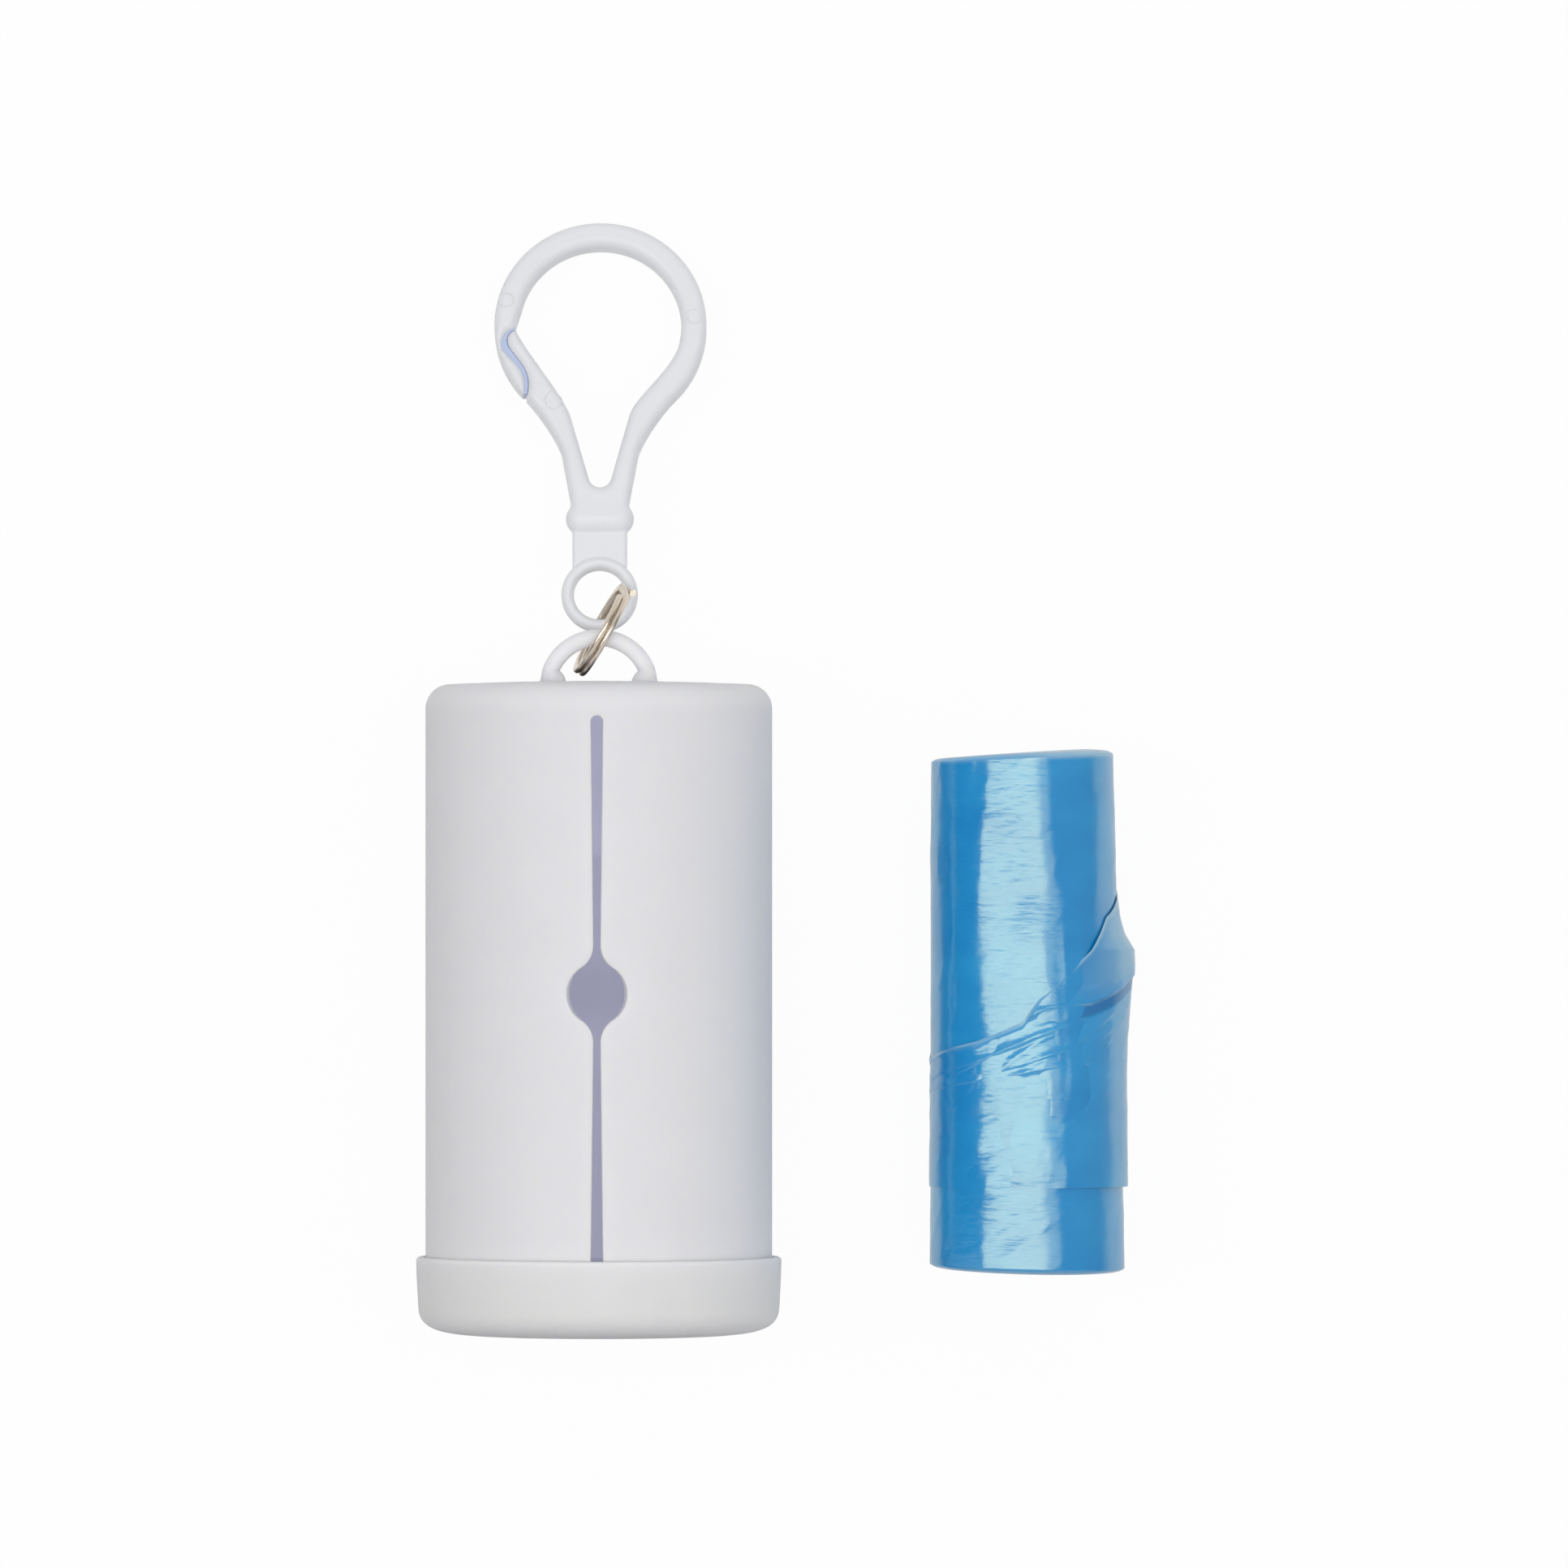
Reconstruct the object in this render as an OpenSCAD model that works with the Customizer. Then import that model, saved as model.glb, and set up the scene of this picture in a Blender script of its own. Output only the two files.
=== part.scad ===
// Pocket dispenser for pet waste bags, laid down beside one spare roll of bags.
// A silicone sleeve with a moulded hang loop is closed by a push-on end cap. A split ring joins
// the loop to a plastic snap hook. The origin is the centre of the cap's bottom face, +Y runs
// along the dispenser to the hook, and +Z points up from the surface that it all lies on.

/* [Sleeve] */
// Outer radius of the silicone sleeve
sleeve_r = 20.5; // [19:0.5:22]
// Wall of the sleeve's tube
sleeve_wall = 2.2; // [1.8:0.1:2.6]
// Distance from the cap's bottom face to the sleeve's closed top
sleeve_top_y = 77.4; // [74:0.2:84]
// Thickness of the closed top
top_wall = 2.6; // [2.4:0.1:4]
// Radius of the soft shoulder round the top
shoulder_r = 2.9; // [2:0.1:3.5]
// Rise of the domed top over its flat shoulder
dome_rise = 0.4; // [0.2:0.1:0.8]

/* [Outlet slot] */
// Distance from the cap's bottom face to the middle of the finger hole
hole_y = 40.6; // [36:0.2:46]
// Radius of the finger hole that the bags are pulled through
hole_r = 3.6; // [3:0.1:4.5]
// Radius of the necks that lead from the slot into the hole
neck_r = 3.1; // [2.5:0.1:3.5]
// Distance from the cap's bottom face to the slot's closed end
slot_end_y = 73.2; // [68:0.2:73.4]
// Width of the slot at its closed end and at the cap
slot_wide = 1.45; // [1:0.05:1.8]
// Width of the slot next to the finger hole
slot_narrow = 0.85; // [0.6:0.05:1]

/* [Hang loop] */
// Radius of the loop, to the middle of its bar
loop_r = 6.1; // [5.8:0.1:7]
// Radius of the loop's bar
bar_r = 1; // [0.9:0.05:1.1]
// Distance from the sleeve's top down to the middle of the loop's arc
loop_sink = 1; // [0.8:0.1:1.4]

/* [End cap] */
// Wall of the lip that goes over the sleeve
lip_wall = 1; // [0.8:0.1:2]
// Height of the cap
cap_h = 9.3; // [8.5:0.1:12]
// Thickness of the cap's floor
cap_floor = 2.5; // [2:0.1:3]
// Wall of the plug ring inside the sleeve
plug_wall = 1.6; // [1.2:0.1:2]
// Clearance between the cap and the sleeve, inside and outside
cap_fit = 0.1; // [0.05:0.01:0.2]

/* [Split ring] */
// Outer diameter of the split ring
ring_od = 12; // [12:0.1:13]
// Radial thickness of the ring's wire
ring_wire_t = 0.9; // [0.7:0.05:1]
// Width of one of the ring's two turns
ring_turn_w = 0.7; // [0.6:0.05:0.75]
// Angle of the hanging ring off the dispenser's axis, seen from above
ring_yaw = 28.5; // [20:0.5:35]
// Lean of the ring off the vertical
ring_lean = 6; // [3:0.5:8]

/* [Snap hook] */
// Outer radius of the hook's crown
crown_r = 12.65; // [12:0.05:13.5]
// Width of the hook's crown
crown_w = 3; // [2.6:0.1:3.2]
// Distance from the eye's rim to the middle of the crown
crown_u = 37; // [36.5:0.1:38]
// Thickness of the hook's crown and arms
hook_t = 3.4; // [2.6:0.1:4]
// Mean radius of the hook's eye
eye_r = 3.8; // [3.7:0.05:4]
// Radius of the bar round the eye
eye_bar_r = 0.75; // [0.6:0.05:0.8]
// Radius of the collar below the arms
collar_r = 1.8; // [1.7:0.05:2]
// Thickness of the flat tail between the collar and the eye
tail_t = 2.2; // [1.6:0.1:2.8]

/* [Bag roll] */
// Length of the roll
roll_len = 61.6; // [55:0.2:66]
// Outer radius of the wound bags
roll_r = 11.2; // [10:0.1:13]
// Outer radius of the core tube
core_r = 6; // [5.5:0.1:7]
// Bore radius of the core tube
core_bore_r = 5; // [4:0.1:5.2]
// Distance between the roll's axis and the dispenser's axis
roll_x = 50.8; // [46:0.2:60]
// Distance from the cap's bottom face to the roll's lower end
roll_y = 7.4; // [0:0.2:12]

/* [Hidden] */
$fn = 96;

silicone = [0.87, 0.87, 0.89];
acetal = [0.89, 0.9, 0.92];
nickel = [0.72, 0.7, 0.66];
film = [0.3, 0.6, 0.84];
card = [0.72, 0.6, 0.45];
paper = [0.93, 0.92, 0.9];

lip_r = sleeve_r + cap_fit;
cap_r = lip_r + lip_wall;
table_z = -cap_r;
hang_gap = 0.45;                        // Room between the ring and the loop that it hangs on
eye_gap = 0.35;                         // Room between the ring and the hook's eye

// Sleeve and cap
bore_r = sleeve_r - sleeve_wall;
sleeve_bottom_y = cap_floor + cap_fit;
ceiling_y = sleeve_top_y - top_wall;
ceiling_fillet = 1.5;
dome_r = sleeve_r - shoulder_r;         // Where the dome meets the shoulder
dome_arc_r = (dome_r * dome_r + dome_rise * dome_rise) / (2 * dome_rise);
dome_half = asin(dome_r / dome_arc_r);
lip_round = 0.45;
plug_r = bore_r - cap_fit;
lip_lead = 0.2;
plug_drop = 0.7;                        // How far the plug ring ends below the lip
plug_top_y = cap_h - plug_drop;
plug_lead = 0.3;
foot_rim = 8.6;                         // From the cap's side in to the flat that it stands on
foot_r = cap_r - foot_rim;
foot_curve = [[3.1, 0.1], [0.4, 0.6]];  // Control points of the curve round the foot, in from the side
belly_y = 3.2;
belly_draft = 0.25;
neck_bite = 0.04;                       // The slot's necks run this far into the finger hole's edge

// Loop, ring and hook
loop_y = sleeve_top_y - loop_sink;
bar_y = loop_y + loop_r;                // The loop's crest, which the ring swings on
bar_embed = 8;                          // Degrees that each end of the bar runs on into the top
ring_mid_r = (ring_od - ring_wire_t) / 2;
ring_hole_r = ring_od / 2 - ring_wire_t;
ring_pitch = ring_turn_w + 0.03;
ring_x = 0.35;                          // The ring hangs a little to the hook's right
ring_y = sleeve_top_y + hang_gap + ring_od / 2 * cos(ring_yaw) + ring_pitch * sin(ring_yaw);
ring_off = (ring_y - bar_y) / cos(ring_yaw);
ring_z = bar_r + hang_gap - sqrt(ring_hole_r * ring_hole_r - ring_off * ring_off);
ring_start = 38;                        // Where the lower turn starts, from the ring's far side
ring_sweep = 688;
cross_from = 330;                       // The turns change over between these two
cross_to = 358;
flare_from = 650;                       // The upper turn's end springs out sideways from here
flare = 0.75;
eye_ahead = 1.45;                       // The eye's rim lies this far past the loop's crest
hook_eye_y = bar_y + eye_ahead;
hook_eye_z = ring_z - ring_hole_r + eye_bar_r + eye_gap;
crown_top_u = crown_u + crown_r;
hook_reach = norm([crown_top_u, hook_t / 2]);
hook_tilt = asin((hook_eye_z - table_z) / hook_reach) - atan(hook_t / 2 / crown_top_u);
collar_u = 13.15;
collar_half = 4.05;
tail_half = 3.25;
tail_lap = 0.4;                         // The tail runs this far into the eye's bar
knuckle = [-2.85, 19];                  // The gate's root, which it flexes about
knuckle_r = 1.2;
knuckle_fit = 0.05;
knuckle_relief = 2;                     // Room cut round the gate's root
fork_r = 1.35;                          // Round bottom of the fork between the two arms
fork_u = 18.25;
neck_half = 3.1;                        // Half of the arms' width at the collar
crown_foot = 45;                        // Degrees below the crown's middle where the shoulders begin
fork_from = 15;                         // Degrees below its middle where the fork's round bottom begins
crown_from = -8;                        // The crown's inner arc runs between these two angles
crown_to = 167;

// Curves of the hook, as control points [across, along from the eye's rim]
shoulder_curve = [[8.89, 28], [7.75, 26.9], [5.1, 23.2], [4.54, 21.1]];
right_arm_curve = [[9.5, 35.3], [9.3, 32], [4.3, 28.4], [3.5, 25.9]];
left_arm_curve = [[-3.6, 25.9], [-5, 29.2], [-8.9, 33.6], [-10.2, 36.6]];
gate_tip_curve = [[-10.3, 36.3], [-11.2, 36], [-11.4, 34.9], [-10.8, 34]];
gate_foot_curve = [[-10.8, 34], [-9.4, 32], [-7.9, 31], [-8.9, 27.6]];
nose_tip_curve = [[-10.1, 36.85], [-11.3, 36.5], [-12.1, 35], [-11.6, 33.9]];
nose_foot_curve = [[-11.6, 33.9], [-10.2, 32], [-8.7, 31.2], [-9.15, 27.6]];
gate_side_x = -0.3;                     // The gate is all of the hook between these two,
gate_foot_x = -9;                       // under the mouth and over the knuckle
fork_open_u = 28;                       // A height in the open fork, past the gate's thin arm
gate_gap = 0.4;

// Roll
film_gap = 0.05;
bag_skin = 0.3;
roll_rest = 0.1;                        // Room between the loose bag and the table
roll_z = table_z + roll_r + film_gap + bag_skin + roll_rest;
core_inset = 0.2;                       // The core tube ends this far inside the bags
crimp_y = 1.2;                          // The outer layers' edges draw in by this at each end
crimp_rim = 3.2;                        // From the roll's side in to where that drawing in begins
crimp_pull = 1.4;                       // From the roll's side in to its curve's control point
crimp_end = 0.4;
bag_hem_y = 10.2;                       // From the roll's lower end to the loose bag's hem
slant_y = 33.5;                         // Where the loose bag's slanting edge crosses the middle
slant = 46;
bag_top_gap = 10;                       // The loose bag stops this far from the roll's upper end
tab_t = 0.1;
tab_w = 2.4;
tab_ahead = 7;                          // From the loose bag's edge to the sticker
tab_turn = 9;

function arc(middle, r, from, to, steps = 16) =
    [for (i = [0:steps]) let (a = from + (to - from) * i / steps) middle + r * [cos(a), sin(a)]];

function bezier(p, steps = 16) =
    [for (i = [0:steps]) let (t = i / steps, s = 1 - t)
        s * s * s * p[0] + 3 * s * s * t * p[1] + 3 * s * t * t * p[2] + t * t * t * p[3]];

function reversed(list) = [for (i = [len(list) - 1:-1:0]) list[i]];

function mirrored(points) = [for (p = reversed(points)) [-p.x, p.y]];

function smooth(t) = let (c = max(0, min(1, t))) c * c * (3 - 2 * c);

// Turns a half outline of [radius, distance along the axis] about the Y axis
module turned(outline) {
    rotate([-90, 0, 0])
        rotate_extrude()
            polygon(outline);
}

// The finger hole with a tapering slot above and below it, widest at both far ends
module slot_outline() {
    half = slot_narrow / 2;
    end_r = slot_wide / 2;
    neck_dy = sqrt(pow(hole_r + neck_r - neck_bite, 2) - pow(half + neck_r, 2));
    taper_top = slot_end_y - end_r;
    polygon([
        [-half, hole_y], [half, hole_y], [half, hole_y + neck_dy],
        [end_r, taper_top], [-end_r, taper_top], [-half, hole_y + neck_dy],
    ]);
    polygon([
        [-half, hole_y], [half, hole_y], [half, hole_y - neck_dy],
        [end_r, cap_h], [end_r, 0], [-end_r, 0], [-end_r, cap_h], [-half, hole_y - neck_dy],
    ]);
    translate([0, taper_top]) circle(end_r);
    translate([0, hole_y]) circle(hole_r);
    for (side = [-1, 1])
        difference() {
            polygon([
                [0, hole_y],
                [half + neck_r, hole_y + side * neck_dy],
                [-half - neck_r, hole_y + side * neck_dy],
            ]);
            for (x = [-1, 1])
                translate([x * (half + neck_r), hole_y + side * neck_dy]) circle(neck_r);
        }
}

module hang_bar() {
    translate([0, loop_y, 0])
        rotate([0, 0, -bar_embed])
            rotate_extrude(angle = 180 + 2 * bar_embed)
                translate([loop_r, 0]) circle(bar_r);
}

// Silicone tube, closed and domed at the top, slit from end to end along its upper side
module sleeve() {
    flat_y = sleeve_top_y - dome_rise;
    outline = concat(
        [[bore_r, sleeve_bottom_y], [sleeve_r, sleeve_bottom_y]],
        arc([dome_r, flat_y - shoulder_r], shoulder_r, 0, 90 - dome_half, 12),
        arc([0, sleeve_top_y - dome_arc_r], dome_arc_r, 90 - dome_half, 90, 8),
        [[0, ceiling_y]],
        arc([bore_r - ceiling_fillet, ceiling_y - ceiling_fillet], ceiling_fillet, 90, 0, 6)
    );
    color(silicone)
        difference() {
            union() {
                turned(outline);
                hang_bar();
            }
            translate([0, 0, bore_r / 2]) linear_extrude(sleeve_r) slot_outline();
        }
}

// Cap with a lip outside the sleeve and a plug ring inside it
module base_cap() {
    belly_r = cap_r - belly_draft;
    function from_side(p) = [cap_r - p.x, p.y];
    outline = concat(
        [[0, 0]],
        bezier([[foot_r, 0], from_side(foot_curve[0]), from_side(foot_curve[1]), [belly_r, belly_y]]),
        arc([cap_r - lip_round, cap_h - lip_round], lip_round, 0, 90, 6),
        [
            [lip_r + lip_lead, cap_h], [lip_r, cap_h - lip_lead], [lip_r, cap_floor],
            [plug_r, cap_floor], [plug_r, plug_top_y - plug_lead],
            [plug_r - plug_lead, plug_top_y], [plug_r - plug_wall, plug_top_y],
            [plug_r - plug_wall, cap_floor], [0, cap_floor],
        ]
    );
    color(silicone) turned(outline);
}

// Flat wire wound into nearly two turns, hanging from the loop with its upper turn's end sprung out
module split_ring() {
    steps = 96;
    sides = 8;
    bevel = 0.22;
    half_t = ring_wire_t / 2;
    half_w = ring_turn_w / 2;
    section = [
        [half_t - bevel, -half_w], [half_t, bevel - half_w], [half_t, half_w - bevel],
        [half_t - bevel, half_w], [bevel - half_t, half_w], [-half_t, half_w - bevel],
        [-half_t, bevel - half_w], [bevel - half_t, -half_w],
    ];
    points = [
        for (i = [0:steps])
            let (
                s = ring_sweep * i / steps,
                a = ring_start + s,
                turn = ring_pitch * (smooth((s - cross_from) / (cross_to - cross_from)) - 0.5),
                side = turn + flare * smooth((s - flare_from) / (ring_sweep - flare_from))
            )
            for (p = section) [(ring_mid_r + p.x) * cos(a), (ring_mid_r + p.x) * sin(a), side + p.y]
    ];
    walls = [
        for (i = [0:steps - 1])
            for (j = [0:sides - 1])
                let (k = (j + 1) % sides)
                [i * sides + j, (i + 1) * sides + j, (i + 1) * sides + k, i * sides + k]
    ];
    ends = [
        [for (j = [0:sides - 1]) j],
        [for (j = [sides - 1:-1:0]) steps * sides + j],
    ];
    color(nickel)
        translate([ring_x, ring_y, ring_z])
            rotate([0, 0, -ring_yaw])
                rotate([0, ring_lean, 0])
                    rotate([90, 0, 90])
                        polyhedron(points, concat(walls, ends), convexity = 6);
}

// Puts something drawn in the hook's own plane, u along Y from the eye's rim, where the hook lies
module on_hook() {
    translate([0, hook_eye_y, hook_eye_z])
        rotate([-hook_tilt, 0, 0])
            children();
}

// The whole hook's arms and crown: a round crown on a fork that narrows to the collar
module hook_outline() {
    shoulder = reversed(bezier(shoulder_curve));
    difference() {
        polygon(concat(
            [[-neck_half, collar_u], [neck_half, collar_u]],
            shoulder,
            arc([0, crown_u], crown_r, -crown_foot, 180 + crown_foot, 60),
            mirrored(shoulder)
        ));
        polygon(concat(
            arc([0, fork_u], fork_r, 180 + fork_from, 360 - fork_from, 12),
            reversed(bezier(right_arm_curve)),
            arc([0, crown_u], crown_r - crown_w, crown_from, crown_to, 48),
            reversed(bezier(left_arm_curve))
        ));
    }
}

// Springy left arm: its edge follows the S-shaped mouth from the tip down to the hook's outside
module gate_outline() {
    intersection() {
        hook_outline();
        polygon(concat(
            [[gate_side_x, knuckle.y], [gate_side_x, fork_open_u], [gate_foot_x, left_arm_curve[3].y]],
            bezier(gate_tip_curve, 8),
            bezier(gate_foot_curve, 10),
            [[gate_foot_x, knuckle.y]]
        ));
    }
    translate(knuckle) circle(knuckle_r);
}

// All the rest of the hook, clear of the gate along the mouth and round the knuckle
module frame_outline() {
    relief = knuckle + knuckle_relief * [cos(-48), sin(-48)];
    difference() {
        hook_outline();
        polygon(concat(
            [
                [0, knuckle.y - knuckle_fit], [0, fork_open_u],
                [gate_foot_x, nose_tip_curve[0].y + gate_gap],
            ],
            bezier(nose_tip_curve, 8),
            bezier(nose_foot_curve, 10),
            [
                [gate_foot_x - gate_gap, knuckle.y - knuckle_fit],
                [knuckle.x, knuckle.y - knuckle_fit], relief,
            ]
        ));
        translate(knuckle) circle(knuckle_r + knuckle_fit);
    }
}

// Moulded hook: crown and nose, right arm, collar, flat tail and round eye in one piece
module hook_frame() {
    color(acetal)
        on_hook() {
            translate([0, 0, -hook_t / 2]) linear_extrude(hook_t) frame_outline();
            translate([0, collar_u, 0]) {
                rotate([0, 90, 0])
                    cylinder(h = 2 * (collar_half - collar_r), r = collar_r, center = true);
                for (x = [-1, 1])
                    translate([x * (collar_half - collar_r), 0, 0]) sphere(collar_r);
            }
            translate([-tail_half, 2 * eye_r - tail_lap, -tail_t / 2])
                cube([2 * tail_half, collar_u - 2 * eye_r + tail_lap, tail_t]);
            translate([0, eye_r, 0]) rotate_extrude() translate([eye_r, 0]) circle(eye_bar_r);
        }
}

// Springy left arm of the hook, which bends inwards to open the mouth
module hook_gate() {
    color(acetal)
        on_hook()
            translate([0, 0, -hook_t / 2]) linear_extrude(hook_t) gate_outline();
}

module at_roll() {
    translate([roll_x, roll_y, roll_z]) children();
}

// Stiff paper tube that the bags are wound on
module roll_core() {
    color(card)
        at_roll()
            turned([
                [core_bore_r, core_inset], [core_r, core_inset],
                [core_r, roll_len - core_inset], [core_bore_r, roll_len - core_inset],
            ]);
}

// Flattened bags wound tight, with the outer layers' edges drawn in at both ends
module bag_windings() {
    crimp = bezier([
        [roll_r - crimp_rim, 0], [roll_r - crimp_pull, 0],
        [roll_r, crimp_y / 2], [roll_r, crimp_y + crimp_end],
    ], 8);
    color(film)
        at_roll()
            turned(concat(
                [[core_r + film_gap, 0]],
                crimp,
                [for (p = reversed(crimp)) [p.x, roll_len - p.y]],
                [[core_r + film_gap, roll_len]]
            ));
}

// The last bag, lapped loosely round the lower half of the roll with a slanting upper edge
module loose_bag() {
    inner = roll_r + film_gap;
    bag_top_y = roll_len - bag_top_gap;
    reach = roll_len / 2;
    color(film)
        at_roll()
            difference() {
                turned([
                    [inner, bag_hem_y], [inner + bag_skin, bag_hem_y],
                    [inner + bag_skin, bag_top_y], [inner, bag_top_y],
                ]);
                translate([0, slant_y, 0])
                    rotate([0, 0, slant])
                        translate([-reach, 0, -reach]) cube([2 * reach, 2 * reach, 2 * reach]);
            }
}

// Small paper sticker that held the roll's end down
module end_tab() {
    inner = roll_r + film_gap;
    from_y = slant_y - roll_r * tan(slant) + tab_ahead;
    color(paper)
        at_roll()
            translate([0, from_y, 0])
                intersection() {
                    turned([[inner, 0], [inner + tab_t, 0], [inner + tab_t, tab_w], [inner, tab_w]]);
                    rotate([0, -tab_turn, 0])
                        translate([-2 * roll_r, -tab_w, -tab_w]) cube([2 * roll_r, 3 * tab_w, 2 * tab_w]);
                }
}

sleeve();
base_cap();
split_ring();
hook_frame();
hook_gate();
roll_core();
bag_windings();
loose_bag();
end_tab();
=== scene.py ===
import math

import bmesh
import bpy
import numpy as np
from mathutils import Matrix, Vector


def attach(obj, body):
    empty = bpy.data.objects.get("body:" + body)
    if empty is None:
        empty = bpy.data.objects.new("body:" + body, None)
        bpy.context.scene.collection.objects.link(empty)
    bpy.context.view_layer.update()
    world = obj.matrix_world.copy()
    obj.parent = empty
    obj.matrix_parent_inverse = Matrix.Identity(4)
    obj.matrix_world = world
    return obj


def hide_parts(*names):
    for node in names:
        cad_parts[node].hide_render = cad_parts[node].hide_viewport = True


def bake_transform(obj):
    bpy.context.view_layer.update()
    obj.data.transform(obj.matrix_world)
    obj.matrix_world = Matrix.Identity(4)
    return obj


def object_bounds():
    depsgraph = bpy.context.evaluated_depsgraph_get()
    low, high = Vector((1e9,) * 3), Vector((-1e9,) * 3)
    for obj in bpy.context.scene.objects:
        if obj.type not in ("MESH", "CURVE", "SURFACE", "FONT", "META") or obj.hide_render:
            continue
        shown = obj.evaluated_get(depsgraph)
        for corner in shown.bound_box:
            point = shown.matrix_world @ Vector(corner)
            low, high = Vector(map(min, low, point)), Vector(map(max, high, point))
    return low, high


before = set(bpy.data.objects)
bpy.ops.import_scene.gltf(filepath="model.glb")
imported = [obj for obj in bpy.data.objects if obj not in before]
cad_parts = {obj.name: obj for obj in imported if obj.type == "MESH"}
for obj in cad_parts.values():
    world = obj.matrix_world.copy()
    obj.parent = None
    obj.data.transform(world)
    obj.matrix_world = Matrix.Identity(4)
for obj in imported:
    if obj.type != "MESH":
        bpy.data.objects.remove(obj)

cad_low, cad_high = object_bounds()

# ---- Camera ------------------------------------------------------------------------------------
# The set lies flat and is looked at from straight above, through a long lens, with the hook at
# the top. The lens points between the dispenser and the spare roll.
def in_scene(name, data):
    """A new object of the scene, from its mesh, lamp or camera data."""
    thing = bpy.data.objects.new(name, data)
    bpy.context.scene.collection.objects.link(thing)
    return thing


mm = 0.001
frame_width = 185.47 * mm
camera_height = 1900 * mm
camera_data = bpy.data.cameras.new("camera")
camera_data.sensor_width = 36
camera_data.lens = camera_data.sensor_width * camera_height / frame_width
camera_data.clip_end = 30
camera = in_scene("camera", camera_data)
camera.location = (21.9 * mm, 65.2 * mm, camera_height)
bpy.context.scene.camera = camera
bpy.context.scene.view_settings.view_transform = "Standard"


# ---- Table and light ---------------------------------------------------------------------------
# A plain white table under one long soft light overhead, with white all round it. The long light
# lies across the roll, so that it shows as the wide pale sheen along the film.
def fill(tree, node, *values, **inputs):
    """Fills a node's inputs, in order or by name, each with a value or with another socket."""
    sockets = list(zip(node.inputs, values))
    sockets += [(node.inputs[name.replace("_", " ")], value) for name, value in inputs.items()]
    for socket, value in sockets:
        if isinstance(value, bpy.types.NodeSocket):
            tree.links.new(value, socket)
        else:
            socket.default_value = value
    return node


def add_node(tree, kind, settings=(), *values, **inputs):
    """Adds a node, sets its options and fills its inputs."""
    node = tree.nodes.new(kind)
    for setting, value in dict(settings).items():
        setattr(node, setting, value)
    return fill(tree, node, *values, **inputs)


def calculate(tree, operation, first, *others):
    """Adds, multiplies or compares numbers or sockets, one after the other."""
    for other in others or (0,):
        first = add_node(tree, "ShaderNodeMath", {"operation": operation}, first, other).outputs[0]
    return first


def ramp(tree, value, low, high, to_low=0, to_high=1, smooth=False):
    """Carries a value over from one range of numbers to another, and holds it at both ends."""
    kind = "SMOOTHSTEP" if smooth else "LINEAR"
    return add_node(tree, "ShaderNodeMapRange", {"interpolation_type": kind},
                    value, low, high, to_low, to_high).outputs[0]


def colour_ramp(tree, value, stops):
    """Turns a value into the colours of its stops, which are given as (value, colour)."""
    node = add_node(tree, "ShaderNodeValToRGB", (), value)
    marks = node.color_ramp.elements
    for place, colour in stops[1:-1]:
        marks.new(place)
    for mark, (place, colour) in zip(marks, stops):
        mark.position = place
        mark.color = (*colour, 1)
    return node.outputs[0]


def eye_share(tree, shown, mirrored):
    """How much of plain white each kind of ray sees: the camera's, and those of reflections."""
    rays = add_node(tree, "ShaderNodeLightPath").outputs
    by_eye = calculate(tree, "MULTIPLY", rays["Is Camera Ray"], shown)
    through = calculate(tree, "MULTIPLY", rays["Is Transmission Ray"], shown)
    in_mirror = calculate(tree, "MULTIPLY", rays["Is Glossy Ray"], mirrored)
    return calculate(tree, "MAXIMUM", by_eye, through, in_mirror)


world = bpy.data.worlds.new("white_room")
bpy.context.scene.world = world
world.use_nodes = True
tree = world.node_tree
way = add_node(tree, "ShaderNodeTexCoord").outputs["Generated"]
room_level = 0.476
brighter_side = (0.13, 0.18, 0)        # The room is brighter to the right and past the hook
brighter = add_node(tree, "ShaderNodeVectorMath", {"operation": "DOT_PRODUCT"}, way, brighter_side)
level = calculate(tree, "ADD", brighter.outputs["Value"], room_level)
room = fill(tree, tree.nodes["Background"], (0.98, 0.99, 1, 1), level)
# Mirrors see a dim room on both sides, and a paler one fore and aft and low on the right
sides = add_node(tree, "ShaderNodeSeparateXYZ", (), way).outputs
fore_and_aft = ramp(tree, calculate(tree, "ABSOLUTE", sides["Y"]), 0.2, 0.5, 0.05, 0.75, smooth=True)
far_right = ramp(tree, sides["X"], 0.55, 0.8, 0, 0.19)
level = calculate(tree, "ADD", fore_and_aft, far_right)
dim_room = add_node(tree, "ShaderNodeBackground", (), (1, 0.98, 0.95, 1), level)
glossy = add_node(tree, "ShaderNodeLightPath").outputs["Is Glossy Ray"]
unseen = add_node(tree, "ShaderNodeMixShader", (), glossy, room.outputs[0], dim_room.outputs[0])
white = add_node(tree, "ShaderNodeBackground", (), (1, 1, 1, 1))
white_share = eye_share(tree, 1, 0)
seen = add_node(tree, "ShaderNodeMixShader", (), white_share, unseen.outputs[0], white.outputs[0])
fill(tree, tree.nodes["World Output"], seen.outputs[0])


def coat(finish, **inputs):
    """A finish's one Principled shader, with the named inputs filled."""
    return fill(finish.node_tree, finish.node_tree.nodes["Principled BSDF"], **inputs)


def new_finish(name, colour, roughness, **inputs):
    """A material with one Principled shader."""
    finish = bpy.data.materials.new(name)
    finish.use_nodes = True
    coat(finish, Base_Color=(*colour, 1), Roughness=roughness, **inputs)
    return finish


table_paint = new_finish("table_white", (0.8, 0.8, 0.8), 0.8)
tree = table_paint.node_tree
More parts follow.
